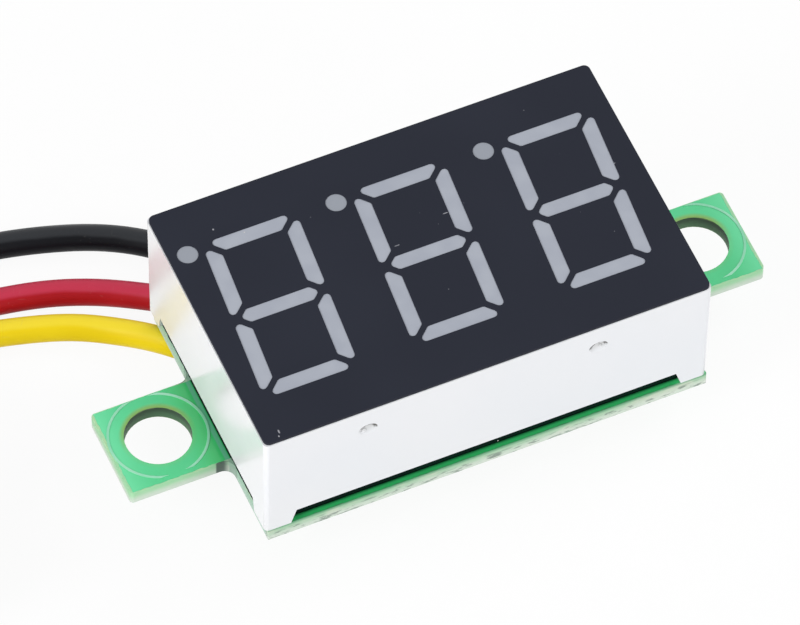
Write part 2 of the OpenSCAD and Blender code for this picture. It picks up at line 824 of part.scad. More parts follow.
// One ring of the tube: a circle across the route at its point i
function tube_ring(route, i, r) =
    let (ahead = heading(route, i), across = unit(cross(ahead, [0, 0, 1])),
         up = cross(across, ahead))
    [for (k = [0:LEAD_SIDES - 1])
        route[i] + r * (across * cos(k * 360 / LEAD_SIDES) + up * sin(k * 360 / LEAD_SIDES))];

module tube(route, r) {
    n = len(route);
    s = LEAD_SIDES;
    points = [for (i = [0:n - 1]) each tube_ring(route, i, r)];
    sides = [for (i = [0:n - 2], k = [0:s - 1])
        [i * s + k, i * s + (k + 1) % s, (i + 1) * s + (k + 1) % s, (i + 1) * s + k]];
    near_cap = [for (k = [s - 1:-1:0]) k];
    far_cap = [for (k = [0:s - 1]) (n - 1) * s + k];
    polyhedron(points, concat(sides, [near_cap, far_cap]), convexity = 6);
}

module black_lead() {
    color("#24272b") tube(BLACK_ROUTE, lead_d / 2);
}

module red_lead() {
    color("#b3283f") tube(RED_ROUTE, lead_d / 2);
}

module yellow_lead() {
    color("#ecd22a") tube(YELLOW_ROUTE, lead_d / 2);
}

// The height of a lead's centre where it ends on top of its coil
function coil_end_z(turns) = tie_t + lead_d / 2 + turns * coil_rise;

// The outer shape of a lead's turns, up to just under its stripped end. The
// first turn comes round over the leads that run in beneath it.
module coil(r, turns) {
    translate([coil_at.x, coil_at.y, 0])
        difference() {
            translate([0, 0, tie_t])
                rotate_extrude($fn = 48)
                    translate([r - lead_d / 2, 0])
                        square([lead_d, coil_end_z(turns) - conductor_d / 2 - tie_t]);
            translate([0, YELLOW_COIL_R - lead_d, -overlap])
                cube([BLACK_COIL_R + lead_d, BLACK_COIL_R + lead_d,
                      tie_t + lead_d + slit + overlap]);
        }
}

module black_lead_coil() {
    color("#24272b") coil(BLACK_COIL_R, black_turns);
}

module red_lead_coil() {
    color("#b3283f") coil(RED_COIL_R, red_turns);
}

module yellow_lead_coil() {
    color("#ecd22a") coil(YELLOW_COIL_R, yellow_turns);
}

// The stripped end of a lead, straight on from its last turn
module stripped_end(r, turns) {
    angle = coil_start + turns * 360;
    translate([coil_at.x + r * cos(angle), coil_at.y + r * sin(angle), coil_end_z(turns)])
        rotate([0, 90, angle + 90]) cylinder(h = stripped_l, d = conductor_d, $fn = 16);
}

module lead_ends() {
    color("silver") {
        stripped_end(BLACK_COIL_R, black_turns);
        stripped_end(RED_COIL_R, red_turns);
        stripped_end(YELLOW_COIL_R, yellow_turns);
    }
}

// A flat tie round the section of the coil
module coil_tie() {
    near = sqrt(pow(YELLOW_COIL_R - lead_d / 2, 2) - pow(tie_w / 2, 2)) - slit;
    far = BLACK_COIL_R + lead_d / 2 + slit;
    inner_h = coil_end_z(max(black_turns, red_turns, yellow_turns)) - tie_t;
    color("dimgray")
        translate([coil_at.x, coil_at.y, 0])
            rotate([0, 0, tie_angle])
                difference() {
                    translate([near - tie_t, -tie_w / 2, 0])
                        cube([far - near + 2 * tie_t, tie_w, inner_h + 2 * tie_t]);
                    translate([near, -tie_w / 2 - overlap, tie_t])
                        cube([far - near, tie_w + 2 * overlap, inner_h]);
                }
}

circuit_board();
silkscreen_rings();
display_housing();
face_film();
segment_resin();
die_board();
light_dies();
back_potting();
display_pins();
pin_solder();
controller_body();
controller_leads();
regulator_body();
regulator_leads();
diode_body();
diode_leads();
resistor_bodies();
capacitor_bodies();
chip_terminals();
trimmer_base();
trimmer_rotor();
trimmer_terminals();
lead_pads();
lead_solder();
black_lead();
red_lead();
yellow_lead();
black_lead_coil();
red_lead_coil();
yellow_lead_coil();
lead_ends();
coil_tie();
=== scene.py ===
"""Looks of a three-digit LED panel voltmeter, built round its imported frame.

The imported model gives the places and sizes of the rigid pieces. +Z is out of the
display's face, +X runs along the mounting ears, and z = 0 is the surface that the meter
stands on. Sizes are in millimetres unless a name says otherwise, and MM turns them into
Blender's metres.
"""

import json
import logging
import math
from dataclasses import dataclass, replace
from enum import Enum
from typing import Callable, Sequence

import bmesh
import bpy
from mathutils import Matrix, Vector, noise

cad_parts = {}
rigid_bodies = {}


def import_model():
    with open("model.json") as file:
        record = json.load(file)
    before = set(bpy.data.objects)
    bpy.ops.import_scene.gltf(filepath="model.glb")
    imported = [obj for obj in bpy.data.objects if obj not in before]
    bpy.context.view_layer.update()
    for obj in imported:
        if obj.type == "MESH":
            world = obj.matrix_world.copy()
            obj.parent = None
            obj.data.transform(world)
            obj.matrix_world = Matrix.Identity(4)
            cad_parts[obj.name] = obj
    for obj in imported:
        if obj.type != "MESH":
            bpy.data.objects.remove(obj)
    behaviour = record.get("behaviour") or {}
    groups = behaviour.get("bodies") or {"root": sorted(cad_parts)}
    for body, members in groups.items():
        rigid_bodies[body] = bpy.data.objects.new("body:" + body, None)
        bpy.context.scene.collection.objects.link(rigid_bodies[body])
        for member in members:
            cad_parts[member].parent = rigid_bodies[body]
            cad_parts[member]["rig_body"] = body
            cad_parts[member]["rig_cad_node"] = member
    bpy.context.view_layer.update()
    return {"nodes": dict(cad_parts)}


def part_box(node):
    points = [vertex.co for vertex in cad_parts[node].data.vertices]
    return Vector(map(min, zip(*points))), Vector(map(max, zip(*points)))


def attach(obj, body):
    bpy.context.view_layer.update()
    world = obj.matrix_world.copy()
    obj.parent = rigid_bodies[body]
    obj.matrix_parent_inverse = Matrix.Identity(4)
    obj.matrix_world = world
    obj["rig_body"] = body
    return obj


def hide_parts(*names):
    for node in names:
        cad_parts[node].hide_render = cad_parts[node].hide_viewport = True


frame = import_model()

log = logging.getLogger("panel_meter")

MM = 0.001
METER = "meter"
FLAT_DEG = 0.5
SHARP_DEG = 30.0
X_AXIS, Y_AXIS, Z_AXIS = Vector((1, 0, 0)), Vector((0, 1, 0)), Vector((0, 0, 1))

Colour = tuple[float, float, float, float]
Plan = tuple[float, float]
Path = tuple[Plan, ...]
Ring = list[Vector]
Socket = bpy.types.NodeSocket


class Slot(str, Enum):
    """The record's material slots."""

    SOLDER_MASK = "solder_mask"
    WHITE_INK = "white_ink"
    WHITE_PLASTIC = "white_plastic"
    BLACK_FILM = "black_film"
    GREY_RESIN = "grey_resin"
    BARE_LAMINATE = "bare_laminate"
    DIE = "die"
    POTTING = "potting"
    TINNED_METAL = "tinned_metal"
    SOLDER = "solder"
    PACKAGE_BLACK = "package_black"
    RESISTOR_GLAZE = "resistor_glaze"
    CAPACITOR_CERAMIC = "capacitor_ceramic"
    TRIMMER_PLASTIC = "trimmer_plastic"
    ROTOR_METAL = "rotor_metal"
    BLACK_INSULATION = "black_insulation"
    RED_INSULATION = "red_insulation"
    YELLOW_INSULATION = "yellow_insulation"
    TIE_PLASTIC = "tie_plastic"


def linear(code: str) -> Colour:
    """Turns a six-digit sRGB code into Blender's linear colour.

    Args:
        code: the colour as six hexadecimal digits.

    Returns:
        Red, green, blue and an alpha of 1.
    """
    parts = [int(code[i : i + 2], 16) / 255 for i in (0, 2, 4)]
    rgb = [c / 12.92 if c <= 0.04045 else ((c + 0.055) / 1.055) ** 2.4 for c in parts]
    return (*rgb, 1.0)


def box_mm(node: str) -> tuple[Vector, Vector]:
    """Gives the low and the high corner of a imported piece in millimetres."""
    low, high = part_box(node)
    return low / MM, high / MM


# ------------------------------------------------------------------- meshes


class MeshMaker:
    """Gathers vertices and faces in millimetres and makes one object of them."""

    def __init__(self) -> None:
        """Starts with no faces."""
        self.points: list[Vector] = []
        self.faces: list[tuple[int, ...]] = []

    def add(self, points: Sequence[Sequence[float]], faces: Sequence[Sequence[int]]) -> None:
        """Adds a patch of faces, whose numbers count from its own first point.

        Args:
            points: the patch's vertices.
            faces: the patch's faces, as numbers of its vertices.
        """
        first = len(self.points)
        self.points += [Vector(p) for p in points]
        self.faces += [tuple(first + i for i in f) for f in faces]

    def loft(self, rings: Sequence[Ring], cap_start: bool = True, cap_end: bool = True) -> None:
        """Joins closed rings of equal length into a skin.

        Args:
            rings: the rings, each a list of points in the same turning sense.
            cap_start: whether the first ring gets a face.
            cap_end: whether the last ring gets a face.
        """
        n = len(rings[0])
        faces = [
            (i * n + k, i * n + (k + 1) % n, (i + 1) * n + (k + 1) % n, (i + 1) * n + k)
            for i in range(len(rings) - 1)
            for k in range(n)
        ]
        if cap_start:
            faces.append(tuple(reversed(range(n))))
        if cap_end:
            faces.append(tuple(range((len(rings) - 1) * n, len(rings) * n)))
        self.add([p for ring in rings for p in ring], faces)

    def build(self, name: str) -> bpy.types.Object:
        """Makes the object in metres, linked to the scene."""
        mesh = bpy.data.meshes.new(name)
        mesh.from_pydata([p * MM for p in self.points], [], self.faces)
        return finished_mesh(mesh, name, 40.0)


def finished_mesh(mesh: bpy.types.Mesh, name: str, sharp_deg: float) -> bpy.types.Object:
    """Turns the faces outwards, smooths them and links the mesh as an object.

    Args:
        mesh: the mesh, in metres.
        name: the new object's name.
        sharp_deg: the angle above which an edge stays sharp.

    Returns:
        The object, linked to the scene.
    """
    bm = bmesh.new()
    bm.from_mesh(mesh)
    bmesh.ops.recalc_face_normals(bm, faces=bm.faces)
    bm.to_mesh(mesh)
    bm.free()
    mesh.polygons.foreach_set("use_smooth", [True] * len(mesh.polygons))
    mesh.set_sharp_from_angle(angle=math.radians(sharp_deg))
    obj = bpy.data.objects.new(name, mesh)
    bpy.context.scene.collection.objects.link(obj)
    return obj


def circle_ring(centre: Vector, across: Vector, up: Vector, radius: float, sides: int) -> Ring:
    """Gives the points of a circle.

    Args:
        centre: the middle of the circle.
        across: the unit vector towards the first point.
        up: the unit vector towards the point a quarter turn on.
        radius: the circle's radius.
        sides: the number of points.

    Returns:
        The points, in order.
    """
    turns = [math.tau * k / sides for k in range(sides)]
    return [centre + radius * (across * math.cos(t) + up * math.sin(t)) for t in turns]


def tube_rings(path: Sequence[Vector], radii: Sequence[float], sides: int) -> list[Ring]:
    """Gives the rings of a tube that follows a path without twisting.

    Args:
        path: the centreline.
        radii: the tube's radius at each point of the path.
        sides: the number of points in a ring.

    Returns:
        One ring for each point of the path.
    """
    rings = []
    across = None
    for i, point in enumerate(path):
        ahead = (path[min(i + 1, len(path) - 1)] - path[max(i - 1, 0)]).normalized()
        if across is None:
            across = ahead.cross(Z_AXIS if abs(ahead.z) < 0.9 else X_AXIS).normalized()
        across = (across - ahead * across.dot(ahead)).normalized()
        rings.append(circle_ring(point, across, ahead.cross(across), radii[i], sides))
    return rings


def smooth_line(points: Sequence[Vector], step: float) -> list[Vector]:
    """Runs a smooth line through points and marks it off at about even steps.

    Args:
        points: the points that the line goes through.
        step: the distance between two points of the result.

    Returns:
        The points of the line, both ends included.
    """
    padded = [2 * points[0] - points[1], *points, 2 * points[-1] - points[-2]]
    line = []
    for a, b, c, d in zip(padded, padded[1:], padded[2:], padded[3:]):
        count = max(1, round((c - b).length / step))
        square, cube = 2 * a - 5 * b + 4 * c - d, 3 * b - a - 3 * c + d
        for t in (i / count for i in range(count)):
            line.append(0.5 * (2 * b + (c - a) * t + square * t**2 + cube * t**3))
    return [*line, points[-1].copy()]


def rounded_loop(corners: Sequence[Vector], radius: float, steps: int) -> list[Vector]:
    """Rounds the corners of a closed outline in a plane.

    Args:
        corners: the corners, in order.
        radius: the radius of every corner.
        steps: the number of chords in a rounded corner.

    Returns:
        The points of the rounded outline.
    """
    loop = []
    for i, b in enumerate(corners):
        u = (corners[i - 1] - b).normalized()
        v = (corners[(i + 1) % len(corners)] - b).normalized()
        half = u.angle(v) / 2
        middle = b + (u + v).normalized() * radius / math.sin(half)
        start, end = (b + way * radius / math.tan(half) - middle for way in (u, v))
        for k in range(steps + 1):
            spoke = start.slerp(end, k / steps) if k else start
            loop.append(middle + spoke.normalized() * radius)
    return loop


def eased(line: Sequence[Vector], rounds: int) -> list[Vector]:
    """Takes the last unevenness out of a line, whose ends stay where they are.

    Args:
        line: the line's points.
        rounds: how many times each point moves halfway towards its neighbours.

    Returns:
        The eased line.
    """
    for _ in range(rounds):
        inner = [(a + 2 * b + c) / 4 for a, b, c in zip(line, line[1:], line[2:])]
        line = [line[0], *inner, line[-1]]
    return list(line)


def softened(
    node: str,
    width: float,
    wanted: Callable[[Vector, Vector], bool] | None = None,
    shape: Callable[[Vector], Vector] | None = None,
) -> bpy.types.Object:
    """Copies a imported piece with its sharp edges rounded, and stands it in its place.

    Args:
        node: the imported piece's name.
        width: how far the rounding reaches from an edge.
        wanted: says from its two ends whether an edge is rounded. All are without it.
        shape: moves each vertex before the edges are rounded.

    Returns:
        The new piece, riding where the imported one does.
    """
    source = frame["nodes"][node]
    bm = bmesh.new()
    bm.from_mesh(source.data)
    bmesh.ops.scale(bm, vec=(1 / MM,) * 3, verts=bm.verts)
    bmesh.ops.remove_doubles(bm, verts=bm.verts, dist=1e-4)
    flat = {"angle_limit": math.radians(FLAT_DEG), "delimit": {"NORMAL"}}
    bmesh.ops.dissolve_limit(bm, verts=bm.verts, edges=bm.edges, **flat)
    for v in bm.verts if shape else ():
        v.co = shape(v.co)
    sharp = [
        e
        for e in bm.edges
        if len(e.link_faces) == 2
        and e.calc_face_angle(0.0) > math.radians(SHARP_DEG)
        and (wanted is None or wanted(e.verts[0].co, e.verts[1].co))
    ]
    bmesh.ops.bevel(
        bm,
        geom=sharp,
        offset=width,
        offset_type="OFFSET",
        segments=2,
        profile=0.5,
        affect="EDGES",
        clamp_overlap=True,
    )
    bmesh.ops.scale(bm, vec=(MM,) * 3, verts=bm.verts)
    mesh = bpy.data.meshes.new(node + "_soft")
    bm.to_mesh(mesh)
    bm.free()
    if "custom_normal" in mesh.attributes:
        mesh.attributes.remove(mesh.attributes["custom_normal"])
    obj = finished_mesh(mesh, node + "_soft", 50.0)
    obj.modifiers.new("weighted_normal", "WEIGHTED_NORMAL").keep_sharp = True
    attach(obj, source["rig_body"])
    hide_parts(node)
    return obj


# ----------------------------------------------------------- shader helpers


class Nodes:
    """A node tree with short ways to place and join its nodes."""

    def __init__(self, tree: bpy.types.NodeTree) -> None:
        """Keeps the tree that the nodes go into."""
        self.tree = tree

    def node(self, kind: str, values: dict | None = None, **settings: object) -> bpy.types.Node:
        """Places a node.

        Args:
            kind: the node's type, without its ShaderNode prefix.
            values: numbers, colours or sockets for its inputs, by name or place.
            **settings: the node's own properties.

        Returns:
            The node.
        """
        made = self.tree.nodes.new("ShaderNode" + kind)
        for key, value in settings.items():
            setattr(made, key, value)
        for key, value in (values or {}).items():
            self.feed(made.inputs[key], value)
        return made

    def feed(self, socket: Socket, value: object) -> None:
        """Links a socket to an output, or sets its value.

        Args:
            socket: the input.
            value: an output socket, a number or a colour.
        """
        if isinstance(value, bpy.types.NodeSocket):
            self.tree.links.new(value, socket)
        else:
            socket.default_value = value

    def math(self, operation: str, *values: object) -> Socket:
        """Places a Math node and gives its output."""
        return self.node("Math", dict(enumerate(values)), operation=operation).outputs[0]

    def times(self, first: object, *others: object) -> Socket:
        """Multiplies values with one another."""
        for value in others:
            first = self.math("MULTIPLY", first, value)
        return first

    def gap(self, value: object, middle: object) -> Socket:
        """Gives the distance between two numbers."""
        return self.math("ABSOLUTE", self.math("SUBTRACT", value, middle))

    def squares(self, *values: object) -> Socket:
        """Gives the sum of the squares of two numbers."""
        return self.math("ADD", *(self.math("POWER", v, 2.0) for v in values))

    def radius(self, *values: object) -> Socket:
        """Gives the distance whose parts along two axes are given."""
        return self.math("SQRT", self.squares(*values))

    def blend(self, share: object, a: object, b: object) -> Socket:
        """Mixes two colours.

        Args:
            share: how much of b shows.
            a: the first colour.
            b: the second colour, as a colour or a code.

        Returns:
            The mixed colour.
        """
        mix = self.node("Mix", data_type="RGBA")
        ends = (linear(c) if isinstance(c, str) else c for c in (a, b))
        for key, value in zip(("Factor_Float", "A_Color", "B_Color"), (share, *ends)):
            self.feed(next(s for s in mix.inputs if s.identifier == key), value)
        return next(s for s in mix.outputs if s.identifier == "Result_Color")

    def painted(self, colour: object, *coats: tuple[object, object]) -> Socket:
        """Lays coats of colour over one another, each a share and a colour."""
        for share, over in coats:
            colour = self.blend(share, colour, over)
        return colour

    def ramp(self, value: object, low: float, high: float, to: Plan = (0, 1)) -> Socket:
        """Maps a value smoothly from one range to another.

        Args:
            value: the value.
            low: the value that gives the new range's start.
            high: the value that gives the new range's end.
            to: the new range.

        Returns:
            The mapped value.
        """
        values = {0: value, 1: low, 2: high, 3: to[0], 4: to[1]}
        return self.node("MapRange", values, interpolation_type="SMOOTHSTEP").outputs[0]

    def within(self, value: object, edge: float, blur: float) -> Socket:
        """Gives 1 below an edge and 0 above it, with a soft change."""
        return self.ramp(value, edge + blur, edge - blur)

    def axes(self, vector: Socket) -> tuple[Socket, Socket, Socket]:
        """Splits a vector into X, Y and Z."""
        return tuple(self.node("SeparateXYZ", {0: vector}).outputs)

    def stretched(self, vector: Socket, scale: Sequence[float], turn_deg: float = 0.0) -> Socket:
        """Scales a vector along each axis, after a turn about Z.

        Args:
            vector: the vector.
            scale: the scale along X, Y and Z.
            turn_deg: the turn about Z.

        Returns:
            The scaled vector.
        """
        turn = (0.0, 0.0, math.radians(turn_deg))
        turned = self.node("Mapping", {"Vector": vector, "Rotation": turn}).outputs[0]
        values = {0: turned, 1: tuple(scale)}
        return self.node("VectorMath", values, operation="MULTIPLY").outputs[0]

    def noise(
        self, vector: Socket, scale: object, detail: float = 2.0, rough: float = 0.5
    ) -> Socket:
        """Places a noise texture and gives its value from 0 to 1."""
        values = {"Vector": vector, "Scale": scale, "Detail": detail, "Roughness": rough}
        return self.node("TexNoise", values).outputs[0]

    def seen(self) -> Socket:
        """Gives 1 for what the camera sees, straight, reflected or through clear things."""
        rays = self.node("LightPath").outputs
        straight = self.math("MAXIMUM", rays["Is Camera Ray"], rays["Is Glossy Ray"])
        return self.math("MAXIMUM", straight, rays["Is Transmission Ray"])


class Effects:
    """Node groups for the effects that several finishes share. Each is built once."""

    def __init__(self) -> None:
        """Builds the groups."""
        self.grain = self._toned("fine_grain", 8.0, 3.0, (0.35, 0.65))
        self.cloud = self._toned("cloud", 0.4, 1.0, (0.3, 0.7))
        self.specks = self._specks()
        self.scratches = self._scratches()

    @staticmethod
    def _group(
        name: str, inputs: dict[str, float], outputs: Sequence[str] = ("Mask",)
    ) -> tuple[Nodes, bpy.types.bpy_prop_collection, bpy.types.bpy_prop_collection]:
        """Starts a node group with a Place vector and named numbers.

        Args:
            name: the group's name.
            inputs: the names of its numbers, with their usual values.
            outputs: the names of its results.

        Returns:
            The group's tree, what it is given and what it hands out.
        """
        tree = bpy.data.node_groups.new(name, "ShaderNodeTree")
        tree.interface.new_socket("Place", in_out="INPUT", socket_type="NodeSocketVector")
        for key, value in inputs.items():
            made = tree.interface.new_socket(key, in_out="INPUT", socket_type="NodeSocketFloat")
            made.default_value = value
        for key in outputs:
            tree.interface.new_socket(key, in_out="OUTPUT", socket_type="NodeSocketFloat")
        given, out = (tree.nodes.new("NodeGroup" + end) for end in ("Input", "Output"))
        return Nodes(tree), given.outputs, out.inputs

    def _toned(self, name: str, scale: float, detail: float, spread: Plan) -> bpy.types.NodeTree:
        """Builds an uneven tone: the fine grain of a surface, or broad and soft clouds.

        Args:
            name: the group's name.
            scale: its usual scale.
            detail: how fine it goes.
            spread: the heights between which the mask changes.

        Returns:
            The group's tree.
        """
        nodes, given, out = self._group(name, {"Scale": scale}, ("Height", "Mask"))
        value = nodes.noise(given["Place"], given["Scale"], detail)
        nodes.feed(out["Height"], value)
        nodes.feed(out["Mask"], nodes.ramp(value, *spread))
        return nodes.tree

    def _specks(self) -> bpy.types.NodeTree:
        """Builds small round specks of dust or chips, scattered at random.

        Returns:
            The node group.
        """
        nodes, given, out = self._group("specks", {"Scale": 1.0, "Share": 0.1, "Size": 0.1})
        warp = nodes.node("TexNoise", {"Vector": given["Place"], "Scale": 6.0}).outputs["Color"]
        shift = {0: warp, 1: (0.12, 0.12, 0.12), 2: given["Place"]}
        moved = nodes.node("VectorMath", shift, operation="MULTIPLY_ADD").outputs[0]
        cells = nodes.node("TexVoronoi", {"Vector": moved, "Scale": given["Scale"]}).outputs
        chance = nodes.node("SeparateColor", {0: cells["Color"]}).outputs
        size = nodes.times(given["Size"], nodes.ramp(chance[1], 0, 1, (0.4, 1.2)))
        inside = nodes.math("LESS_THAN", cells["Distance"], size)
        picked = nodes.math("LESS_THAN", chance[0], given["Share"])
        nodes.feed(out["Mask"], nodes.times(inside, picked))
        return nodes.tree

    def _scratches(self) -> bpy.types.NodeTree:
        """Builds fine short scratches in two directions.

        Returns:
            The node group.
        """
        nodes, given, out = self._group("scratches", {"Amount": 0.3})
        masks = []
        for turn in (23.0, -58.0):
            place = nodes.stretched(given["Place"], (0.35, 9.0, 9.0), turn)
            line = nodes.ramp(nodes.noise(place, 1.0, 1.0), 0.7, 0.76)
            gate = nodes.ramp(nodes.noise(given["Place"], 0.5, 0.0), 0.5, 0.62)
            masks.append(nodes.times(line, gate))
        nodes.feed(out["Mask"], nodes.times(nodes.math("MAXIMUM", *masks), given["Amount"]))
        return nodes.tree


EFFECTS = Effects()


class Shader(Nodes):
    """The node tree of one material. Its place is in millimetres."""

    def __init__(self, name: str) -> None:
        """Makes the material with its surface shader.

        Args:
            name: the material's name.
        """
        self.material = bpy.data.materials.new(name)
        self.material.use_nodes = True
        super().__init__(self.material.node_tree)
        self.tree.nodes.clear()
        self.surface = self.node("BsdfPrincipled")
        self.output = self.node("OutputMaterial", {"Surface": self.surface.outputs[0]})
        values = {0: self.node("TexCoord").outputs["Object"], 1: (1 / MM,) * 3}
        self.place = self.node("VectorMath", values, operation="MULTIPLY").outputs[0]

    def effect(self, group: bpy.types.NodeTree, output: str, **values: object) -> Socket:
        """Places a shared effect.

        Args:
            group: the effect's node group.
            output: the name of the result that is wanted.
            **values: the effect's numbers.

        Returns:
            The result.
        """
        made = self.tree.nodes.new("ShaderNodeGroup")
        made.node_tree = group
        for key, value in {"Place": self.place, **values}.items():
            self.feed(made.inputs[key], value)
        return made.outputs[output]

    def bump(self, height: Socket, depth_mm: float) -> Socket:
        """Gives the normal of a surface raised by a height map that goes from 0 to 1."""
        values = {"Height": height, "Distance": depth_mm * MM, "Strength": 1.0}
        return self.node("Bump", values).outputs[0]

    def set(self, values: dict[str, object]) -> None:
        """Feeds the surface shader's inputs, by name."""
        for key, value in values.items():
            self.feed(self.surface.inputs[key], value)


# ----------------------------------------------------------------- finishes


@dataclass(frozen=True)
class Tint:
    """A colour that comes in between two values of a distance."""

    colour: str
    start: float
    full: float
    most: float = 1.0

    def coat(self, shader: Shader, distance: Socket, *others: object) -> tuple[Socket, str]:
        """Gives the coat for a distance, its share multiplied by any others."""
        share = shader.ramp(distance, self.start, self.full, (0, self.most))
        return shader.times(share, *others), self.colour


@dataclass(frozen=True)
class BoardPlan:
    """The board's plan: half sizes of its body and its ears, and what is cut in them."""

    middle: Plan = (0.1, -0.1)
    body: Plan = (11.15, 6.8)
    ears: Plan = (16.2, 2.425)
    hole_x: float = 13.75
    hole_r: float = 1.6
    root: Plan = (11.7, 2.975)
    corner_r: float = 0.2


@dataclass(frozen=True)
class Gates:
    """The two marks that the moulding gates left on the housing's near wall."""

    x: Plan = (-6.1, 5.5)
    z: float = 8.55
    radius: float = 0.45
    drop: float = 0.23
    squash: Plan = (0.95, 0.8)


PLAN = BoardPlan()
GATES = Gates()


@dataclass(frozen=True)
class Finish:
    """A finish of one main colour, with soft changes of tone, grain and dust."""

    slot: Slot
    colour: str
    shade: str
    roughness: float
    metallic: float = 0.0
    coat: float = 0.0
    grain_scale: float = 8.0
    grain_depth: float = 0.004
    cloud_scale: float = 0.5
    rough_spread: float = 0.08
    dust: float = 0.04
    gloss: float = 0.5

    def cloud(self, shader: Shader) -> Socket:
        """Gives where the broad changes of tone are."""
        return shader.effect(EFFECTS.cloud, "Mask", Scale=self.cloud_scale)

    def grain(self, shader: Shader) -> Socket:
        """Gives the height of the fine grain."""
        return shader.effect(EFFECTS.grain, "Height", Scale=self.grain_scale)

    def base(self, shader: Shader) -> Socket:
        """Gives the surface's colour without dust."""
        return shader.blend(self.cloud(shader), self.colour, self.shade)

    def looks(self, shader: Shader) -> dict[str, object]:
        """Gives the values of the surface shader.

        Args:
            shader: the material's tree.

        Returns:
            The values, by the input's name.
        """
        grain = shader.effect(EFFECTS.grain, "Mask", Scale=self.grain_scale / 3)
        dust = shader.effect(EFFECTS.specks, "Mask", Scale=2.6, Share=self.dust, Size=0.09)
        low, high = self.roughness - self.rough_spread, self.roughness + self.rough_spread
        return {
            "Base Color": shader.blend(dust, self.base(shader), "c9c7c2"),
            "Roughness": shader.ramp(grain, 0.0, 1.0, (low, high)),
            "Metallic": self.metallic,
            "Specular IOR Level": self.gloss,
            "Coat Roughness": 0.08,
        }

    def build(self) -> bpy.types.Material:
        """Makes the material.

        Returns:
            The material.
        """
        shader = Shader(self.slot.value)
        shader.set({"Coat Weight": self.coat, **self.looks(shader)})
        if not shader.surface.inputs["Normal"].is_linked:
            shader.set({"Normal": shader.bump(self.grain(shader), self.grain_depth)})
        return shader.material


@dataclass(frozen=True)
class InsulationFinish(Finish):
    """Extruded insulation, with painted light on its upper side: a lighter colour and a raised
    specular level.
    """

    # The first colour below is painted light on the upper side, which also gets painted sheen from
    # a raised specular level.
    painted_light_top: str = "ffffff"
    upper: tuple[float, float, float] = (0.0, 0.5, 0.87)
    on_top: Plan = (0.36, 0.7)
    shine: Plan = (0.12, 0.32)

    def looks(self, shader: Shader) -> dict[str, object]:
        """Gives the values of the surface shader.

        Args:
            shader: the material's tree.

        Returns:
            The values, by the input's name.
        """
        cloud = self.cloud(shader)
        scuff = shader.effect(EFFECTS.scratches, "Mask", Amount=0.05)
        values = {0: shader.node("TexCoord").outputs["Normal"], 1: self.upper}
        facing = shader.node("VectorMath", values, operation="DOT_PRODUCT").outputs["Value"]
        wander = shader.ramp(shader.noise(shader.place, 0.4), 0.3, 0.7, (-0.05, 0.05))
        # Painted light: on_top is the share of the upper side that turns lighter and shinier.
        on_top = shader.ramp(shader.math("ADD", facing, wander), *self.on_top)
        colour = shader.blend(cloud, self.colour, self.shade)
        return {
            "Base Color": shader.painted(colour, (on_top, self.painted_light_top), (scuff, "a09c96")),
            "Specular IOR Level": shader.ramp(on_top, 0.0, 1.0, self.shine),
            "Roughness": shader.ramp(cloud, 0.0, 1.0, (self.roughness, self.roughness + 0.12)),
            "Coat Roughness": 0.12,
        }


@dataclass(frozen=True)
class BoardSpot:
    """Where a point of the board is: its Y, its distances in plan and its depth."""

    y: Socket
    along: Socket
    across: Socket
    from_hole: Socket
    from_root: Socket
    depth: Socket


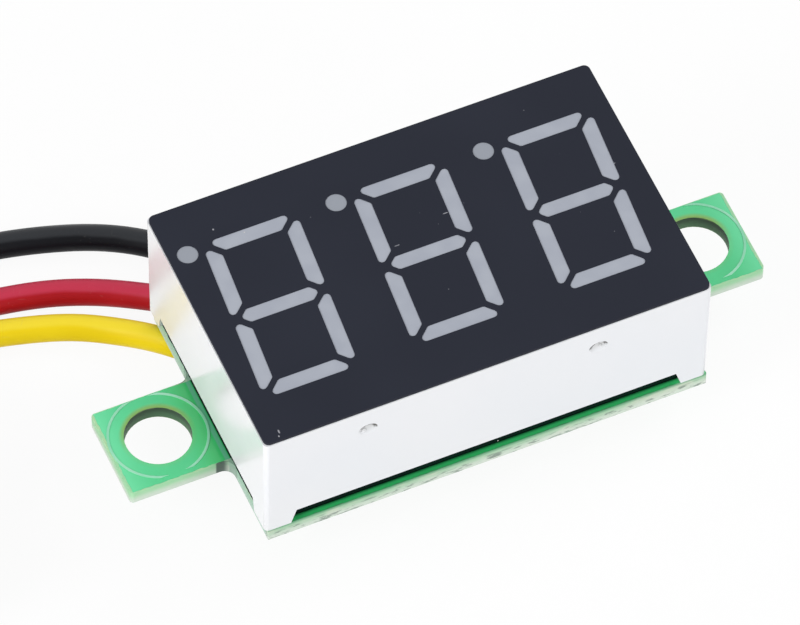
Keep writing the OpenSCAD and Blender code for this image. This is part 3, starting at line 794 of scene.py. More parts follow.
@dataclass(frozen=True)
class BoardFinish(Finish):
    """Green solder mask on both faces, and the bare cut laminate round the edges, both with painted
    light and shade.
    """

    # Painted light: the mask turns lighter green on the ears next to the display and towards their
    # ends.
    painted_light_near_display: Tint = Tint("36c868", 13.2, 11.6, 0.8)
    painted_light_at_ear_ends: Tint = Tint("72ebae", 14.6, 16.6, 0.8)
    foot_x: float = 11.315
    beside_foot: Tint = Tint("7cb8ac", 0.14, 0.07, 0.55)
    raised: str = "5fd79b"
    rim: Tint = Tint("86b04e", 1.9, 1.62)
    rim_y: Plan = (-0.6, 1.2)
    rim_share: Plan = (0.15, 0.9)
    # Painted shade: near-black green on the board's top face under the display, where shade falls;
    # resin gives the half sizes of that patch.
    painted_shade_under_display: str = "07201a"
    resin: Plan = (11.17, 6.54)
    under_display_blur: Plan = (0.03, 0.09)

    laminate: str = "a8ceac"
    laminate_shade: str = "c4d4bd"
    ear_laminate: Tint = Tint("a2dfaa", 11.6, 12.0, 0.75)
    laminate_low: Tint = Tint("dce5da", 0.15, 0.7, 0.85)
    smudge: Tint = Tint("67796f", 0.5, 0.62, 0.75)
    stain: Tint = Tint("4c9a6c", 0.24, 0.02, 0.9)
    # Painted shade: the board's short sides, under the housing's walls, are darker blue-green.
    painted_shade_short_side: str = "8fb7a6"
    # Painted shade: dark in the concave routed corners where the ears meet the body.
    painted_shade_in_root: Tint = Tint("46584f", 0.6, 0.57)
    # Painted shade: the holes' walls are dark green, darker still near the top.
    bore: str = "3d6842"
    painted_shade_bore_top: Tint = Tint("1c3c22", 0.7, 0.1)
    edge_line: Tint = Tint("d3e6a6", 0.14, 0.05, 0.2)

    mask_depth: float = 0.03
    mask_blur: float = 0.006
    mask_inset: Plan = (0.13, 0.03)
    ragged: float = 0.02

    def looks(self, shader: Shader) -> dict[str, object]:
        """Gives the values of the surface shader.

        Args:
            shader: the material's tree.

        Returns:
            The values, by the input's name.
        """
        low, high = (corner.z for corner in box_mm("circuit_board"))
        middle, half = (low + high) / 2, (high - low) / 2
        x, y, z = shader.axes(shader.place)
        along, across = (shader.gap(v, m) for v, m in zip((x, y), PLAN.middle))
        hole = shader.radius(shader.gap(along, PLAN.hole_x), y)
        root = shader.radius(*(shader.gap(v, r) for v, r in zip((along, across), PLAN.root)))
        depth = shader.math("SUBTRACT", high, z)
        spot = BoardSpot(y, along, across, hole, root, depth)

        from_middle = shader.gap(z, middle)
        edge = half - self.mask_depth
        on_face = shader.ramp(from_middle, edge - self.mask_blur, edge + self.mask_blur)
        masked = shader.times(on_face, self._covered(shader, spot))
        over_copper = shader.ramp(from_middle, half + 0.005, half + 0.02)
        on_top = shader.math("GREATER_THAN", z, middle)
        green = self._mask_colour(shader, spot, on_top, over_copper)

        fibres = shader.noise(shader.stretched(shader.place, (1.2, 1.2, 9.0)), 1.0, 3.0, 0.7)
        cut = shader.times(shader.math("SUBTRACT", 1.0, masked), fibres)
        height = shader.math("MULTIPLY_ADD", cut, 6.0, self.grain(shader))
        return {
            "Base Color": shader.blend(masked, self._side_colour(shader, spot), green),
            "Roughness": shader.ramp(masked, 0.0, 1.0, (0.6, self.roughness)),
            "Coat Weight": shader.times(masked, self.coat),
            "Coat Roughness": 0.06,
            "Normal": shader.bump(height, self.grain_depth),
        }

    def _mask_colour(
        self, shader: Shader, spot: BoardSpot, on_top: Socket, over_copper: Socket
    ) -> Socket:
        """Gives the colour of the solder mask, with painted light near the display and at the ears'
        ends, and painted shade under the display.

        Args:
            shader: the material's tree.
            spot: the point of the board.
            on_top: 1 on the upper half of the board.
            over_copper: 1 where the mask lies on a raised track.

        Returns:
            The colour.
        """
        rim_share = shader.ramp(spot.y, *self.rim_y, self.rim_share)
        # Painted shade under the display: on the top face only, inside the resin plan, with soft
        # edges.
        sides = zip((spot.along, spot.across), self.resin, self.under_display_blur)
        under_display_share = shader.times(*(shader.within(*side) for side in sides), on_top)
        return shader.painted(
            self.base(shader),
            self.painted_light_near_display.coat(shader, spot.along),
            self.painted_light_at_ear_ends.coat(shader, spot.along),
            self.beside_foot.coat(shader, shader.gap(spot.along, self.foot_x), on_top),
            (over_copper, self.raised),
            self.rim.coat(shader, spot.from_hole, rim_share),
            (under_display_share, self.painted_shade_under_display),
        )

    def _side_colour(self, shader: Shader, spot: BoardSpot) -> Socket:
        """Gives the colour of the cut edges and the holes' walls, with painted shade on the short
        sides, in the ears' roots and in the holes.

        Args:
            shader: the material's tree.
            spot: the point of the board.

        Returns:
            The colour.
        """
        tone = shader.noise(shader.stretched(shader.place, (0.8, 0.8, 1.6)), 1.0, 2.0)
        torn = shader.noise(shader.stretched(shader.place, (0.9, 0.9, 3.6)), 1.3, 4.0, 0.65)
        long_side = shader.math("GREATER_THAN", spot.across, PLAN.body[1] - 0.3)
        elsewhere = shader.math("SUBTRACT", 1.0, long_side)
        low_half = shader.ramp(spot.depth, 0.2, 0.45)
        body_end = shader.math("LESS_THAN", spot.along, PLAN.body[0] + 0.15)
        root_shade_share = shader.ramp(spot.along, 11.3, 11.55, (0.35, 0.95))
        in_hole = shader.math("LESS_THAN", spot.from_hole, PLAN.hole_r + 0.05)
        return shader.painted(
            shader.blend(shader.ramp(tone, 0.45, 0.65), self.laminate, self.laminate_shade),
            self.ear_laminate.coat(shader, spot.along),
            self.laminate_low.coat(shader, spot.depth),
            self.smudge.coat(shader, torn, low_half, long_side),
            self.stain.coat(shader, spot.depth, long_side),
            (shader.times(body_end, elsewhere, 0.6), self.painted_shade_short_side),
            self.painted_shade_in_root.coat(shader, spot.from_root, root_shade_share),
            (in_hole, shader.painted(self.bore, self.painted_shade_bore_top.coat(shader, spot.depth))),
            self.edge_line.coat(shader, spot.depth, shader.ramp(tone, 0.5, 0.6), elsewhere),
        )

    def _covered(self, shader: Shader, spot: BoardSpot) -> Socket:
        """Says where the mask covers the board, which is a little inside its outline.

        Args:
            shader: the material's tree.
            spot: the point of the board.

        Returns:
            1 on the mask and 0 outside it.
        """
        spread = (-self.ragged, self.ragged)
        ragged = shader.ramp(shader.noise(shader.place, 2.5), 0.3, 0.7, spread)
        away = [shader.math("ADD", v, ragged) for v in (spot.along, spot.across)]
        ear_inset, inset = self.mask_inset
        covers = [
            shader.times(shader.within(away[0], long, 0.01), shader.within(away[1], wide, 0.01))
            for long, wide in (
                (PLAN.body[0] - inset, PLAN.body[1] - inset),
                (PLAN.ears[0] - ear_inset, PLAN.ears[1] - inset),
            )
        ]
        return shader.math("MAXIMUM", *covers)


@dataclass(frozen=True)
class HousingFinish(Finish):
    """Glossy white plastic, with painted shade and a painted shadow line in the two torn gate
    marks.
    """

    mark_r: float = 0.43
    mark_squash: float = 0.84
    # The gate marks get painted shade: a grey wash inside them, deeper towards their top, and a
    # dark shadow line along their upper edge.
    painted_gate_shadow: str = "524f4c"
    hollow: Tint = Tint("c6c7c5", -0.35, 0.35, 0.7)

    def base(self, shader: Shader) -> Socket:
        """Gives the surface's colour.

        Args:
            shader: the material's tree.

        Returns:
            The colour.
        """
        x, y, z = shader.axes(shader.place)
        middle, half = sum(GATES.x) / 2, (GATES.x[1] - GATES.x[0]) / 2
        across = shader.math("SUBTRACT", shader.gap(x, middle), half)
        rise = shader.math("SUBTRACT", z, GATES.z - GATES.drop)
        rise = shader.math("DIVIDE", rise, self.mark_squash)
        radius = shader.radius(across, rise)
        near = shader.math("LESS_THAN", y, -6.5)
        # Painted shadow along the upper edge of each gate mark's recess.
        line = shader.times(
            shader.ramp(radius, self.mark_r - 0.18, self.mark_r - 0.06),
            shader.ramp(radius, self.mark_r + 0.07, self.mark_r + 0.02),
            shader.ramp(shader.noise(shader.place, 2.2, 3.0, 0.6), 0.4, 0.52, (0.2, 1.0)),
            shader.ramp(rise, -0.15, 0.15),
            near,
        )
        inside = shader.ramp(radius, self.mark_r, self.mark_r - 0.04)
        return shader.painted(
            super().base(shader), self.hollow.coat(shader, rise, inside, near), (line, self.painted_gate_shadow)
        )


@dataclass(frozen=True)
class ResinFinish(Finish):
    """Cloudy diffusing resin, which is darker in the small wells of the dots."""

    dot: str = "90959f"
    digit_pitch: float = 7.48
    dot_at: Plan = (-2.81, 4.26)
    dot_r: float = 0.55

    def base(self, shader: Shader) -> Socket:
        """Gives the surface's colour.

        Args:
            shader: the material's tree.

        Returns:
            The colour.
        """
        x, y, _ = shader.axes(shader.place)
        across, rise = (shader.math("SUBTRACT", v, at) for v, at in zip((x, y), self.dot_at))
        half = self.digit_pitch / 2
        radius = shader.radius(shader.math("WRAP", across, half, -half), rise)
        in_dot = shader.math("LESS_THAN", radius, self.dot_r)
        return shader.painted(super().base(shader), (in_dot, self.dot))


@dataclass(frozen=True)
class FilmFinish(Finish):
    """The satin black face film, with pale dust specks and short scuffs."""

    scuff: str = "a4a5ac"
    scuffs: tuple[tuple[Plan, Plan], ...] = (
        ((-10.34, -6.5), (0.05, 0.13)),
        ((-10.44, -6.74), (0.045, 0.06)),
        ((-8.65, 5.1), (0.05, 0.06)),
        ((9.9, 1.2), (0.16, 0.03)),
        ((-1.2, 0.9), (0.15, 0.03)),
        ((1.6, 1.7), (0.16, 0.03)),
    )

    def looks(self, shader: Shader) -> dict[str, object]:
        """Gives the values of the surface shader.

        Args:
            shader: the material's tree.

        Returns:
            The values, by the input's name.
        """
        cloud = self.cloud(shader)
        fine = shader.effect(EFFECTS.specks, "Mask", Scale=1.9, Share=0.14, Size=0.055)
        coarse = shader.effect(EFFECTS.specks, "Mask", Scale=0.5, Share=0.2, Size=0.035)
        marks = shader.math("MAXIMUM", shader.times(fine, 0.3), shader.times(coarse, 0.7))
        place = shader.axes(shader.place)[:2]
        for middle, half in self.scuffs:
            offsets = [shader.math("SUBTRACT", v, m) for v, m in zip(place, middle)]
            shares = [shader.math("DIVIDE", v, h) for v, h in zip(offsets, half)]
            patch = shader.ramp(shader.squares(*shares), 1.0, 0.3, (0, 0.9))
            marks = shader.math("MAXIMUM", marks, patch)
        worn = shader.ramp(shader.noise(shader.place, 9.0), 0.3, 0.5, (0.4, 1.0))
        colour = shader.blend(cloud, self.colour, self.shade)
        rough = (self.roughness - 0.04, self.roughness + 0.04)
        return {
            "Base Color": shader.blend(shader.times(marks, worn), colour, self.scuff),
            "Roughness": shader.ramp(cloud, 0.0, 1.0, rough),
            "Specular IOR Level": self.gloss,
        }


LEAD_SKIN = {"cloud_scale": 0.3, "grain_scale": 1.5, "grain_depth": 0.002}
FINISHES: tuple[Finish, ...] = (
    BoardFinish(
        Slot.SOLDER_MASK, "48ce88", "50d692", 0.25,
        coat=0.4, cloud_scale=0.25, grain_scale=0.8, grain_depth=0.003,
    ),
    Finish(Slot.WHITE_INK, "a6e6c6", "8fdcb6", 0.4),
    HousingFinish(
        Slot.WHITE_PLASTIC, "edeef1", "eaecf0", 0.2,
        gloss=0.4, grain_scale=0.5, grain_depth=0.0008, cloud_scale=0.12, rough_spread=0.03,
        dust=0.0,
    ),
    FilmFinish(
        Slot.BLACK_FILM, "222530", "252833", 0.5,
        gloss=0.12, grain_scale=14.0, grain_depth=0.002, cloud_scale=0.15,
    ),
    ResinFinish(
        Slot.GREY_RESIN, "a4a9b4", "9da2ae", 0.5,
        grain_scale=5.0, grain_depth=0.002, cloud_scale=0.8, dust=0.02,
    ),
    Finish(Slot.BARE_LAMINATE, "8c8c62", "7b7a52", 0.55),
    Finish(Slot.DIE, "d0a868", "c09858", 0.3, metallic=0.3),
    # The potting is coloured near-black green as painted shade, so the cavity seen through the
    # housing's notches is dark.
    Finish(Slot.POTTING, "07201a", "051814", 0.5, grain_depth=0.02, grain_scale=1.5, gloss=0.06),
    Finish(Slot.TINNED_METAL, "c6c7cb", "b4b6ba", 0.3, metallic=1.0),
    Finish(Slot.SOLDER, "c9cace", "b0b2b8", 0.22, metallic=1.0, grain_scale=4.0, grain_depth=0.01),
    Finish(Slot.PACKAGE_BLACK, "2c2d30", "242528", 0.55, grain_scale=12.0, grain_depth=0.008),
    Finish(Slot.RESISTOR_GLAZE, "202126", "18191c", 0.25, coat=0.3),
    Finish(Slot.CAPACITOR_CERAMIC, "b89468", "a8845a", 0.45, grain_scale=14.0, grain_depth=0.006),
    Finish(Slot.TRIMMER_PLASTIC, "93a4b8", "8798ac", 0.45),
    Finish(Slot.ROTOR_METAL, "cbc8bc", "bcb8aa", 0.32, metallic=1.0),
    InsulationFinish(Slot.BLACK_INSULATION, "0b0c11", "0e0f14", 0.34, painted_light_top="1c1f24", **LEAD_SKIN),
    InsulationFinish(Slot.RED_INSULATION, "b81e2a", "a8141e", 0.34, painted_light_top="c02c48", **LEAD_SKIN),
    InsulationFinish(Slot.YELLOW_INSULATION, "f6d81a", "f0d010", 0.36, painted_light_top="f3d92a", **LEAD_SKIN),
    Finish(Slot.TIE_PLASTIC, "26272a", "1f2023", 0.35, coat=0.1),
)
MATERIALS: dict[Slot, bpy.types.Material] = {f.slot: f.build() for f in FINISHES}


def dress(obj: bpy.types.Object, slot: Slot) -> bpy.types.Object:
    """Gives an object one finish.

    Args:
        obj: the object.
        slot: the finish's slot.

    Returns:
        The same object.
    """
    obj.data.materials.clear()
    obj.data.materials.append(MATERIALS[slot])
    return obj


# -------------------------------------------------------------------- leads


def route(*points: tuple[float, float, float]) -> list[Vector]:
    """Gives a lead's route as vectors."""
    return [Vector(p) for p in points]


BLACK_ROUTE = route(
    (-5.4, 4.9, 1.3), (-5.5, 6, 1.3), (-5.9, 7.3, 1.15), (-6.7, 8.9, 0.85), (-7.9, 10.5, 0.65),
    (-9.3, 11.8, 0.65), (-10.5, 12.6, 0.65), (-11.9, 13.3, 0.65), (-13.8, 13.9, 0.65),
    (-15.7, 14.4, 0.65), (-18, 14.7, 0.65), (-21, 14.7, 0.65), (-24, 14.3, 0.65),
    (-27, 13.7, 0.7), (-29.5, 13.3, 0.8), (-32, 13.15, 0.85),
)
RED_ROUTE = route(
    (-7.3, 4.9, 1.3), (-7.6, 5.9, 1.3), (-8.2, 6.9, 1.15), (-9.2, 7.9, 0.85), (-10.4, 8.8, 0.65),
    (-11.6, 9.6, 0.65), (-13, 10.3, 0.65), (-14, 10.7, 0.65), (-15, 11, 0.65), (-17, 11.4, 0.65),
    (-19.5, 11.7, 0.65), (-22, 11.9, 0.65), (-24.5, 11.95, 0.65), (-27, 11.9, 0.7),
    (-29.5, 11.85, 0.8), (-32, 11.8, 0.85),
)
YELLOW_ROUTE = route(
    (-9.8, 4.7, 1.3), (-10.4, 5.3, 1.3), (-10.9, 5.9, 1.25), (-11.7, 6.8, 0.95),
    (-12.6, 7.6, 0.65), (-13.6, 8.3, 0.65), (-14.7, 8.8, 0.65), (-16.2, 9.3, 0.65),
    (-17.7, 9.7, 0.65), (-20, 10.15, 0.65), (-22.5, 10.4, 0.65), (-25, 10.5, 0.65),
    (-27.5, 10.5, 0.7), (-29.5, 10.5, 0.75), (-32, 10.45, 0.85),
)


@dataclass(frozen=True)
class Lead:
    """One insulated lead: its free stretch, its turns in the coil and its bare ends."""

    name: str
    slot: Slot
    points: list[Vector]
    pad: Plan
    coil_radius: float
    turns: float
    length: float = 150.0
    diameter: float = 1.3
    bore: float = 0.56
    bore_depth: float = 1.4
    lip: float = 0.06
    strand_d: float = 0.165
    strand_pitch: float = 3.4
    strand_step: float = 0.15
    stripped: float = 3.0
    overlap: float = 1.3
    coil_centre: Plan = (-32.0, 4.0)
    coil_rise: float = 1.32
    coil_start_deg: float = 90.0
    step: float = 0.45
    ease: int = 12
    sides: int = 20

    def spoke(self, turn: float) -> Vector:
        """Gives the direction from the coil's axis after a number of turns."""
        angle = math.radians(self.coil_start_deg + 360 * turn)
        return Vector((math.cos(angle), math.sin(angle), 0))

    def turn_point(self, turn: float) -> Vector:
        """Gives the centreline's point after a number of turns in the coil."""
        axis = Vector((*self.coil_centre, self.points[-1].z + self.coil_rise * turn))
        return axis + self.coil_radius * self.spoke(turn)

    def centreline(self) -> list[Vector]:
        """Gives the whole centreline of the insulation, from the pad's side on."""
        count = math.ceil(self.turns * math.tau * self.coil_radius / self.step)
        coil = [self.turn_point(self.turns * i / count) for i in range(1, count + 1)]
        return eased(smooth_line(self.points, self.step) + coil, self.ease)

    def cut_end(self, tip: Vector, inner: Vector, skin: Ring) -> list[Ring]:
        """Gives the rings of a cut end, from inside the bore to the outer skin.

        Args:
            tip: the end of the centreline.
            inner: the centreline's point next to it.
            skin: the tube's ring at the end.

        Returns:
            The rings.
        """
        r, lip, inwards = self.diameter / 2, self.lip, (inner - tip).normalized()
        bore = [(self.bore / 2, self.bore_depth), (self.bore / 2, 0.0)]
        profile = [*bore, (r - lip, 0.0), (r - 0.3 * lip, 0.3 * lip), (r, lip)]
        middle = sum(skin, Vector()) / len(skin)
        spokes = [(p - middle).normalized() for p in skin]
        return [[tip + inwards * depth + s * radius for s in spokes] for radius, depth in profile]

    def insulation(self) -> bpy.types.Object:
        """Makes the insulation, a hollow tube with softened cut ends.

        Returns:
            The tube.
        """
        line = self.centreline()
        body = tube_rings(line, [self.diameter / 2] * len(line), self.sides)
        first = self.cut_end(line[0], line[1], body[0])
        last = self.cut_end(line[-1], line[-2], body[-1])
        maker = MeshMaker()
        maker.loft(first + body[1:-1] + last[::-1])
        return dress(maker.build(self.name), self.slot)

    def twist(self, maker: MeshMaker, start: Vector, end: Vector) -> None:
        """Adds seven strands, one straight and six twisted round it.

        Args:
            maker: where the strands go.
            start: the middle of the first end.
            end: the middle of the last end.
        """
        length, ahead = (end - start).length, (end - start).normalized()
        across = ahead.cross(Z_AXIS).normalized()
        up = ahead.cross(across)
        count = max(8, round(length / self.strand_step))
        radii = [self.strand_d / 2] * count + [self.strand_d / 2 * 0.7]
        for strand in range(7):
            away = self.strand_d if strand else 0.0
            line = []
            for at in (length * i / count for i in range(count + 1)):
                turn = math.tau * (at / self.strand_pitch + strand / 6)
                aside = away * (across * math.cos(turn) + up * math.sin(turn))
                line.append(start + ahead * at + aside)
            maker.loft(tube_rings(line, radii, 8))

    def strands(self) -> bpy.types.Object:
        """Makes the twisted strands that show at both ends.

        Returns:
            The strands, as one object.
        """
        maker = MeshMaker()
        start, second = self.points[0], self.points[1]
        inside = start + (second - start).normalized() * self.overlap
        self.twist(maker, Vector((*self.pad, start.z)), inside)
        end, ahead = self.turn_point(self.turns), self.spoke(self.turns + 0.25)
        self.twist(maker, end - ahead * self.overlap, end + ahead * self.stripped)
        return dress(maker.build(self.name + "_strands"), Slot.TINNED_METAL)

    def build(self) -> None:
        tube, strands = self.insulation(), self.strands()
        for piece in (tube, strands):
            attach(piece, METER)
        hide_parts(self.name, self.name + "_coil")
        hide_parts("lead_ends")
        line = self.centreline()
        log.info("%s: %d points on its centreline", self.name, len(line))


LEADS: tuple[Lead, ...] = (
    Lead("black_lead", Slot.BLACK_INSULATION, BLACK_ROUTE, (-5.4, 3.8), 9.15, 2.05),
    Lead("red_lead", Slot.RED_INSULATION, RED_ROUTE, (-7.2, 3.8), 7.8, 2.5),
    Lead("yellow_lead", Slot.YELLOW_INSULATION, YELLOW_ROUTE, (-9.0, 3.8), 6.45, 3.1),
)


@dataclass(frozen=True)
class CoilTie:
    """The flat toothed strap round the coil, with its locking head and cut tail."""

    width: float = 2.4
    thickness: float = 0.2
    angle_deg: float = 315.0
    near: float = 5.62
    far: float = 9.92
    far_z: float = 3.5
    shoulder: Plan = (7.1, 5.07)
    corner_r: float = 0.7
    head: tuple[float, float, float] = (1.2, 3.0, 2.4)
    head_z: float = 2.1
    head_ends: Path = ((-0.5, 0.12), (-0.44, 0.0), (0.38, 0.0), (0.46, 0.1), (0.5, 0.28))
    head_r: float = 0.4
    tail: float = 1.1
    tail_root: float = 0.3

    def build(self) -> None:
        """Makes the strap and its head."""
        maker = MeshMaker()
        half_w, half_t = self.width / 2, self.thickness / 2
        run = ((self.near, half_t), (self.far, half_t), (self.far, self.far_z))
        corners = (*run, self.shoulder, (self.near, self.shoulder[1]))
        loop = rounded_loop([Vector((x, 0, z)) for x, z in corners], self.corner_r, 6)
        edge = 0.35 * half_t
        section = (
            (-half_w, -half_t + edge), (-half_w + edge, -half_t), (half_w - edge, -half_t),
            (half_w, -half_t + edge), (half_w, half_t - edge), (half_w - edge, half_t),
            (-half_w + edge, half_t), (-half_w, half_t - edge),
        )
        rings = []
        for i, point in enumerate(loop):
            ahead = (loop[(i + 1) % len(loop)] - loop[i - 1]).normalized()
            out = ahead.cross(Y_AXIS).normalized()
            rings.append([point + Y_AXIS * y + out * t for y, t in section])
        maker.loft([*rings, rings[0]], cap_start=False, cap_end=False)
        self._head(maker)
        tie = dress(maker.build("coil_tie_strap"), Slot.TIE_PLASTIC)
        tie.modifiers.new("weld", "WELD").merge_threshold = 1e-6
        centre = Matrix.Translation(Vector((*LEADS[0].coil_centre, 0)) * MM)
        tie.matrix_world = centre @ Matrix.Rotation(math.radians(self.angle_deg), 4, "Z")
        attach(tie, METER)
        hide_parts("coil_tie")
        log.info("coil_tie_strap: strap %.1f mm wide", self.width)

    def _head(self, maker: MeshMaker) -> None:
        """Adds the locking head and the cut tail that comes out of it.

        Args:
            maker: where they go.
        """
        depth, wide, high = self.head
        middle = Vector((self.far + depth / 2, 0, self.head_z))
        corners = ((-1, -1), (1, -1), (1, 1), (-1, 1))
        rings = []
        for x, inset in self.head_ends:
            w, h = wide / 2 - inset, high / 2 - inset
            outline = [middle + Vector((x * depth, i * w, j * h)) for i, j in corners]
            rings.append(rounded_loop(outline, self.head_r, 4))
        maker.loft(rings)
        start = middle + Vector((0.1 * depth, 0, high / 2 - self.tail_root))
        tail = []
        for share in (0.0, 0.5, 1.0):
            w, t = self.width / 2 * (1 - 0.04 * share), self.thickness / 2
            at = start + Vector((0.25, 0, self.tail_root + self.tail)) * share
            tail.append([at + Vector((i * t, j * w, 0)) for i, j in corners])
        maker.loft(tail)


# ------------------------------------------------------------------- studio


@dataclass(frozen=True)
class SoftBox:
    """A soft lamp: where it stands round the meter, its size and its strength."""

    name: str
    azimuth_deg: float
    elevation_deg: float
    distance_m: float
    size_m: float
    power_w: float


@dataclass(frozen=True)
class Studio:
    """The camera, the soft lamps, the pale surroundings and the floor."""

    aim: tuple[float, float, float] = (-2.598, -2.618, 9.95)
    azimuth_deg: float = -24.588
    elevation_deg: float = 54.961
    roll_deg: float = 1.037
    distance: float = 442.975
    lens: float = 433.242
    sensor: float = 36.0
    clip_m: Plan = (0.05, 20.0)
    floor_m: float = 3.0
    floor_cells: int = 8
    floor_glow: float = 0.92
    sky_strength: float = 0.52
    boxes: tuple[SoftBox, ...] = (
        SoftBox("key_box", -80.0, 30.0, 0.9, 0.5, 4.4),
        SoftBox("fill_box", 20.0, 25.0, 1.0, 0.6, 2.4),
        SoftBox("rim_box", 105.0, 45.0, 1.0, 0.5, 2.6),
    )

    @staticmethod
    def direction(azimuth_deg: float, elevation_deg: float) -> Vector:
        """Gives the unit vector from the meter towards a place round it.

        Args:
            azimuth_deg: 0 is in front (-Y) and 90 to the right (+X).
            elevation_deg: the angle above the floor.

        Returns:
            The unit vector.
        """
        a, e = math.radians(azimuth_deg), math.radians(elevation_deg)
        return Vector((math.sin(a) * math.cos(e), -math.cos(a) * math.cos(e), math.sin(e)))

    def camera(self) -> None:
        """Places the camera."""
        data = bpy.data.cameras.new("camera")
        data.lens, data.sensor_width = self.lens, self.sensor
        data.clip_start, data.clip_end = self.clip_m
        camera = bpy.data.objects.new("camera", data)
        back = self.direction(self.azimuth_deg, self.elevation_deg)
        right = Z_AXIS.cross(back).normalized()
        turn = Matrix((right, back.cross(right), back)).transposed().to_4x4()
        roll = Matrix.Rotation(math.radians(self.roll_deg), 4, "Z")
        place = Matrix.Translation((Vector(self.aim) + back * self.distance) * MM)
        camera.matrix_world = place @ turn @ roll
        bpy.context.scene.collection.objects.link(camera)
        bpy.context.scene.camera = camera

    def lamps(self) -> None:
        """Places the soft lamps, all turned towards the meter."""
        for box in self.boxes:
            data = bpy.data.lights.new(box.name, "AREA")
            data.shape, data.size, data.energy = "DISK", box.size_m, box.power_w
            lamp = bpy.data.objects.new(box.name, data)
            back = self.direction(box.azimuth_deg, box.elevation_deg)
            lamp.location = back * box.distance_m
            lamp.rotation_mode = "QUATERNION"
            lamp.rotation_quaternion = (-back).to_track_quat("-Z", "Y")
            bpy.context.scene.collection.objects.link(lamp)

    def surroundings(self) -> None:
        """Makes the pale sky, which is plain white where it is seen or reflected."""
        world = bpy.data.worlds.new("pale_sky")
        world.use_nodes = True
        bpy.context.scene.world = world
        nodes = Nodes(world.node_tree)
        nodes.tree.nodes.clear()
        strength = nodes.ramp(nodes.seen(), 0.0, 1.0, (self.sky_strength, 1.0))
        sky = nodes.node("Background", {"Color": linear("ffffff"), "Strength": strength})
        nodes.node("OutputWorld", {"Surface": sky.outputs[0]})

    def floor(self) -> None:
        """Makes the floor, which is white with a soft shadow, and clear from below."""
        maker = MeshMaker()
        cells, row = range(self.floor_cells), self.floor_cells + 1
        edge = [self.floor_m / MM * (i / self.floor_cells - 0.5) for i in range(row)]
        corners = (0, 1, row + 1, row)
        faces = [tuple(j * row + i + c for c in corners) for j in cells for i in cells]
        maker.add([(x, y, 0.0) for y in edge for x in edge], faces)
        floor = maker.build("floor")
        shader = Shader("floor_white")
        grain = shader.effect(EFFECTS.grain, "Mask", Scale=0.3)
        tone = shader.blend(grain, "f4f4f4", "f1f1f1")
        shader.set({"Base Color": tone, "Roughness": 0.7, "Specular IOR Level": 0.1})
        glow = shader.node("Emission", {"Color": linear("ffffff"), "Strength": 1.0})
        share = shader.times(shader.seen(), self.floor_glow)
        lit = shader.node("MixShader", {0: share, 1: shader.surface.outputs[0], 2: glow.outputs[0]})
        clear = shader.node("BsdfTransparent")
        below = shader.node("NewGeometry").outputs["Backfacing"]
        one_way = shader.node("MixShader", {0: below, 1: lit.outputs[0], 2: clear.outputs[0]})
        shader.feed(shader.output.inputs["Surface"], one_way.outputs[0])
        floor.data.materials.append(shader.material)

    def build(self) -> None:
        """Sets the whole studio up."""
        for part in (self.camera, self.lamps, self.surroundings, self.floor):
            part()
        bpy.context.scene.view_settings.view_transform = "Standard"


# -------------------------------------------------------------------- meter


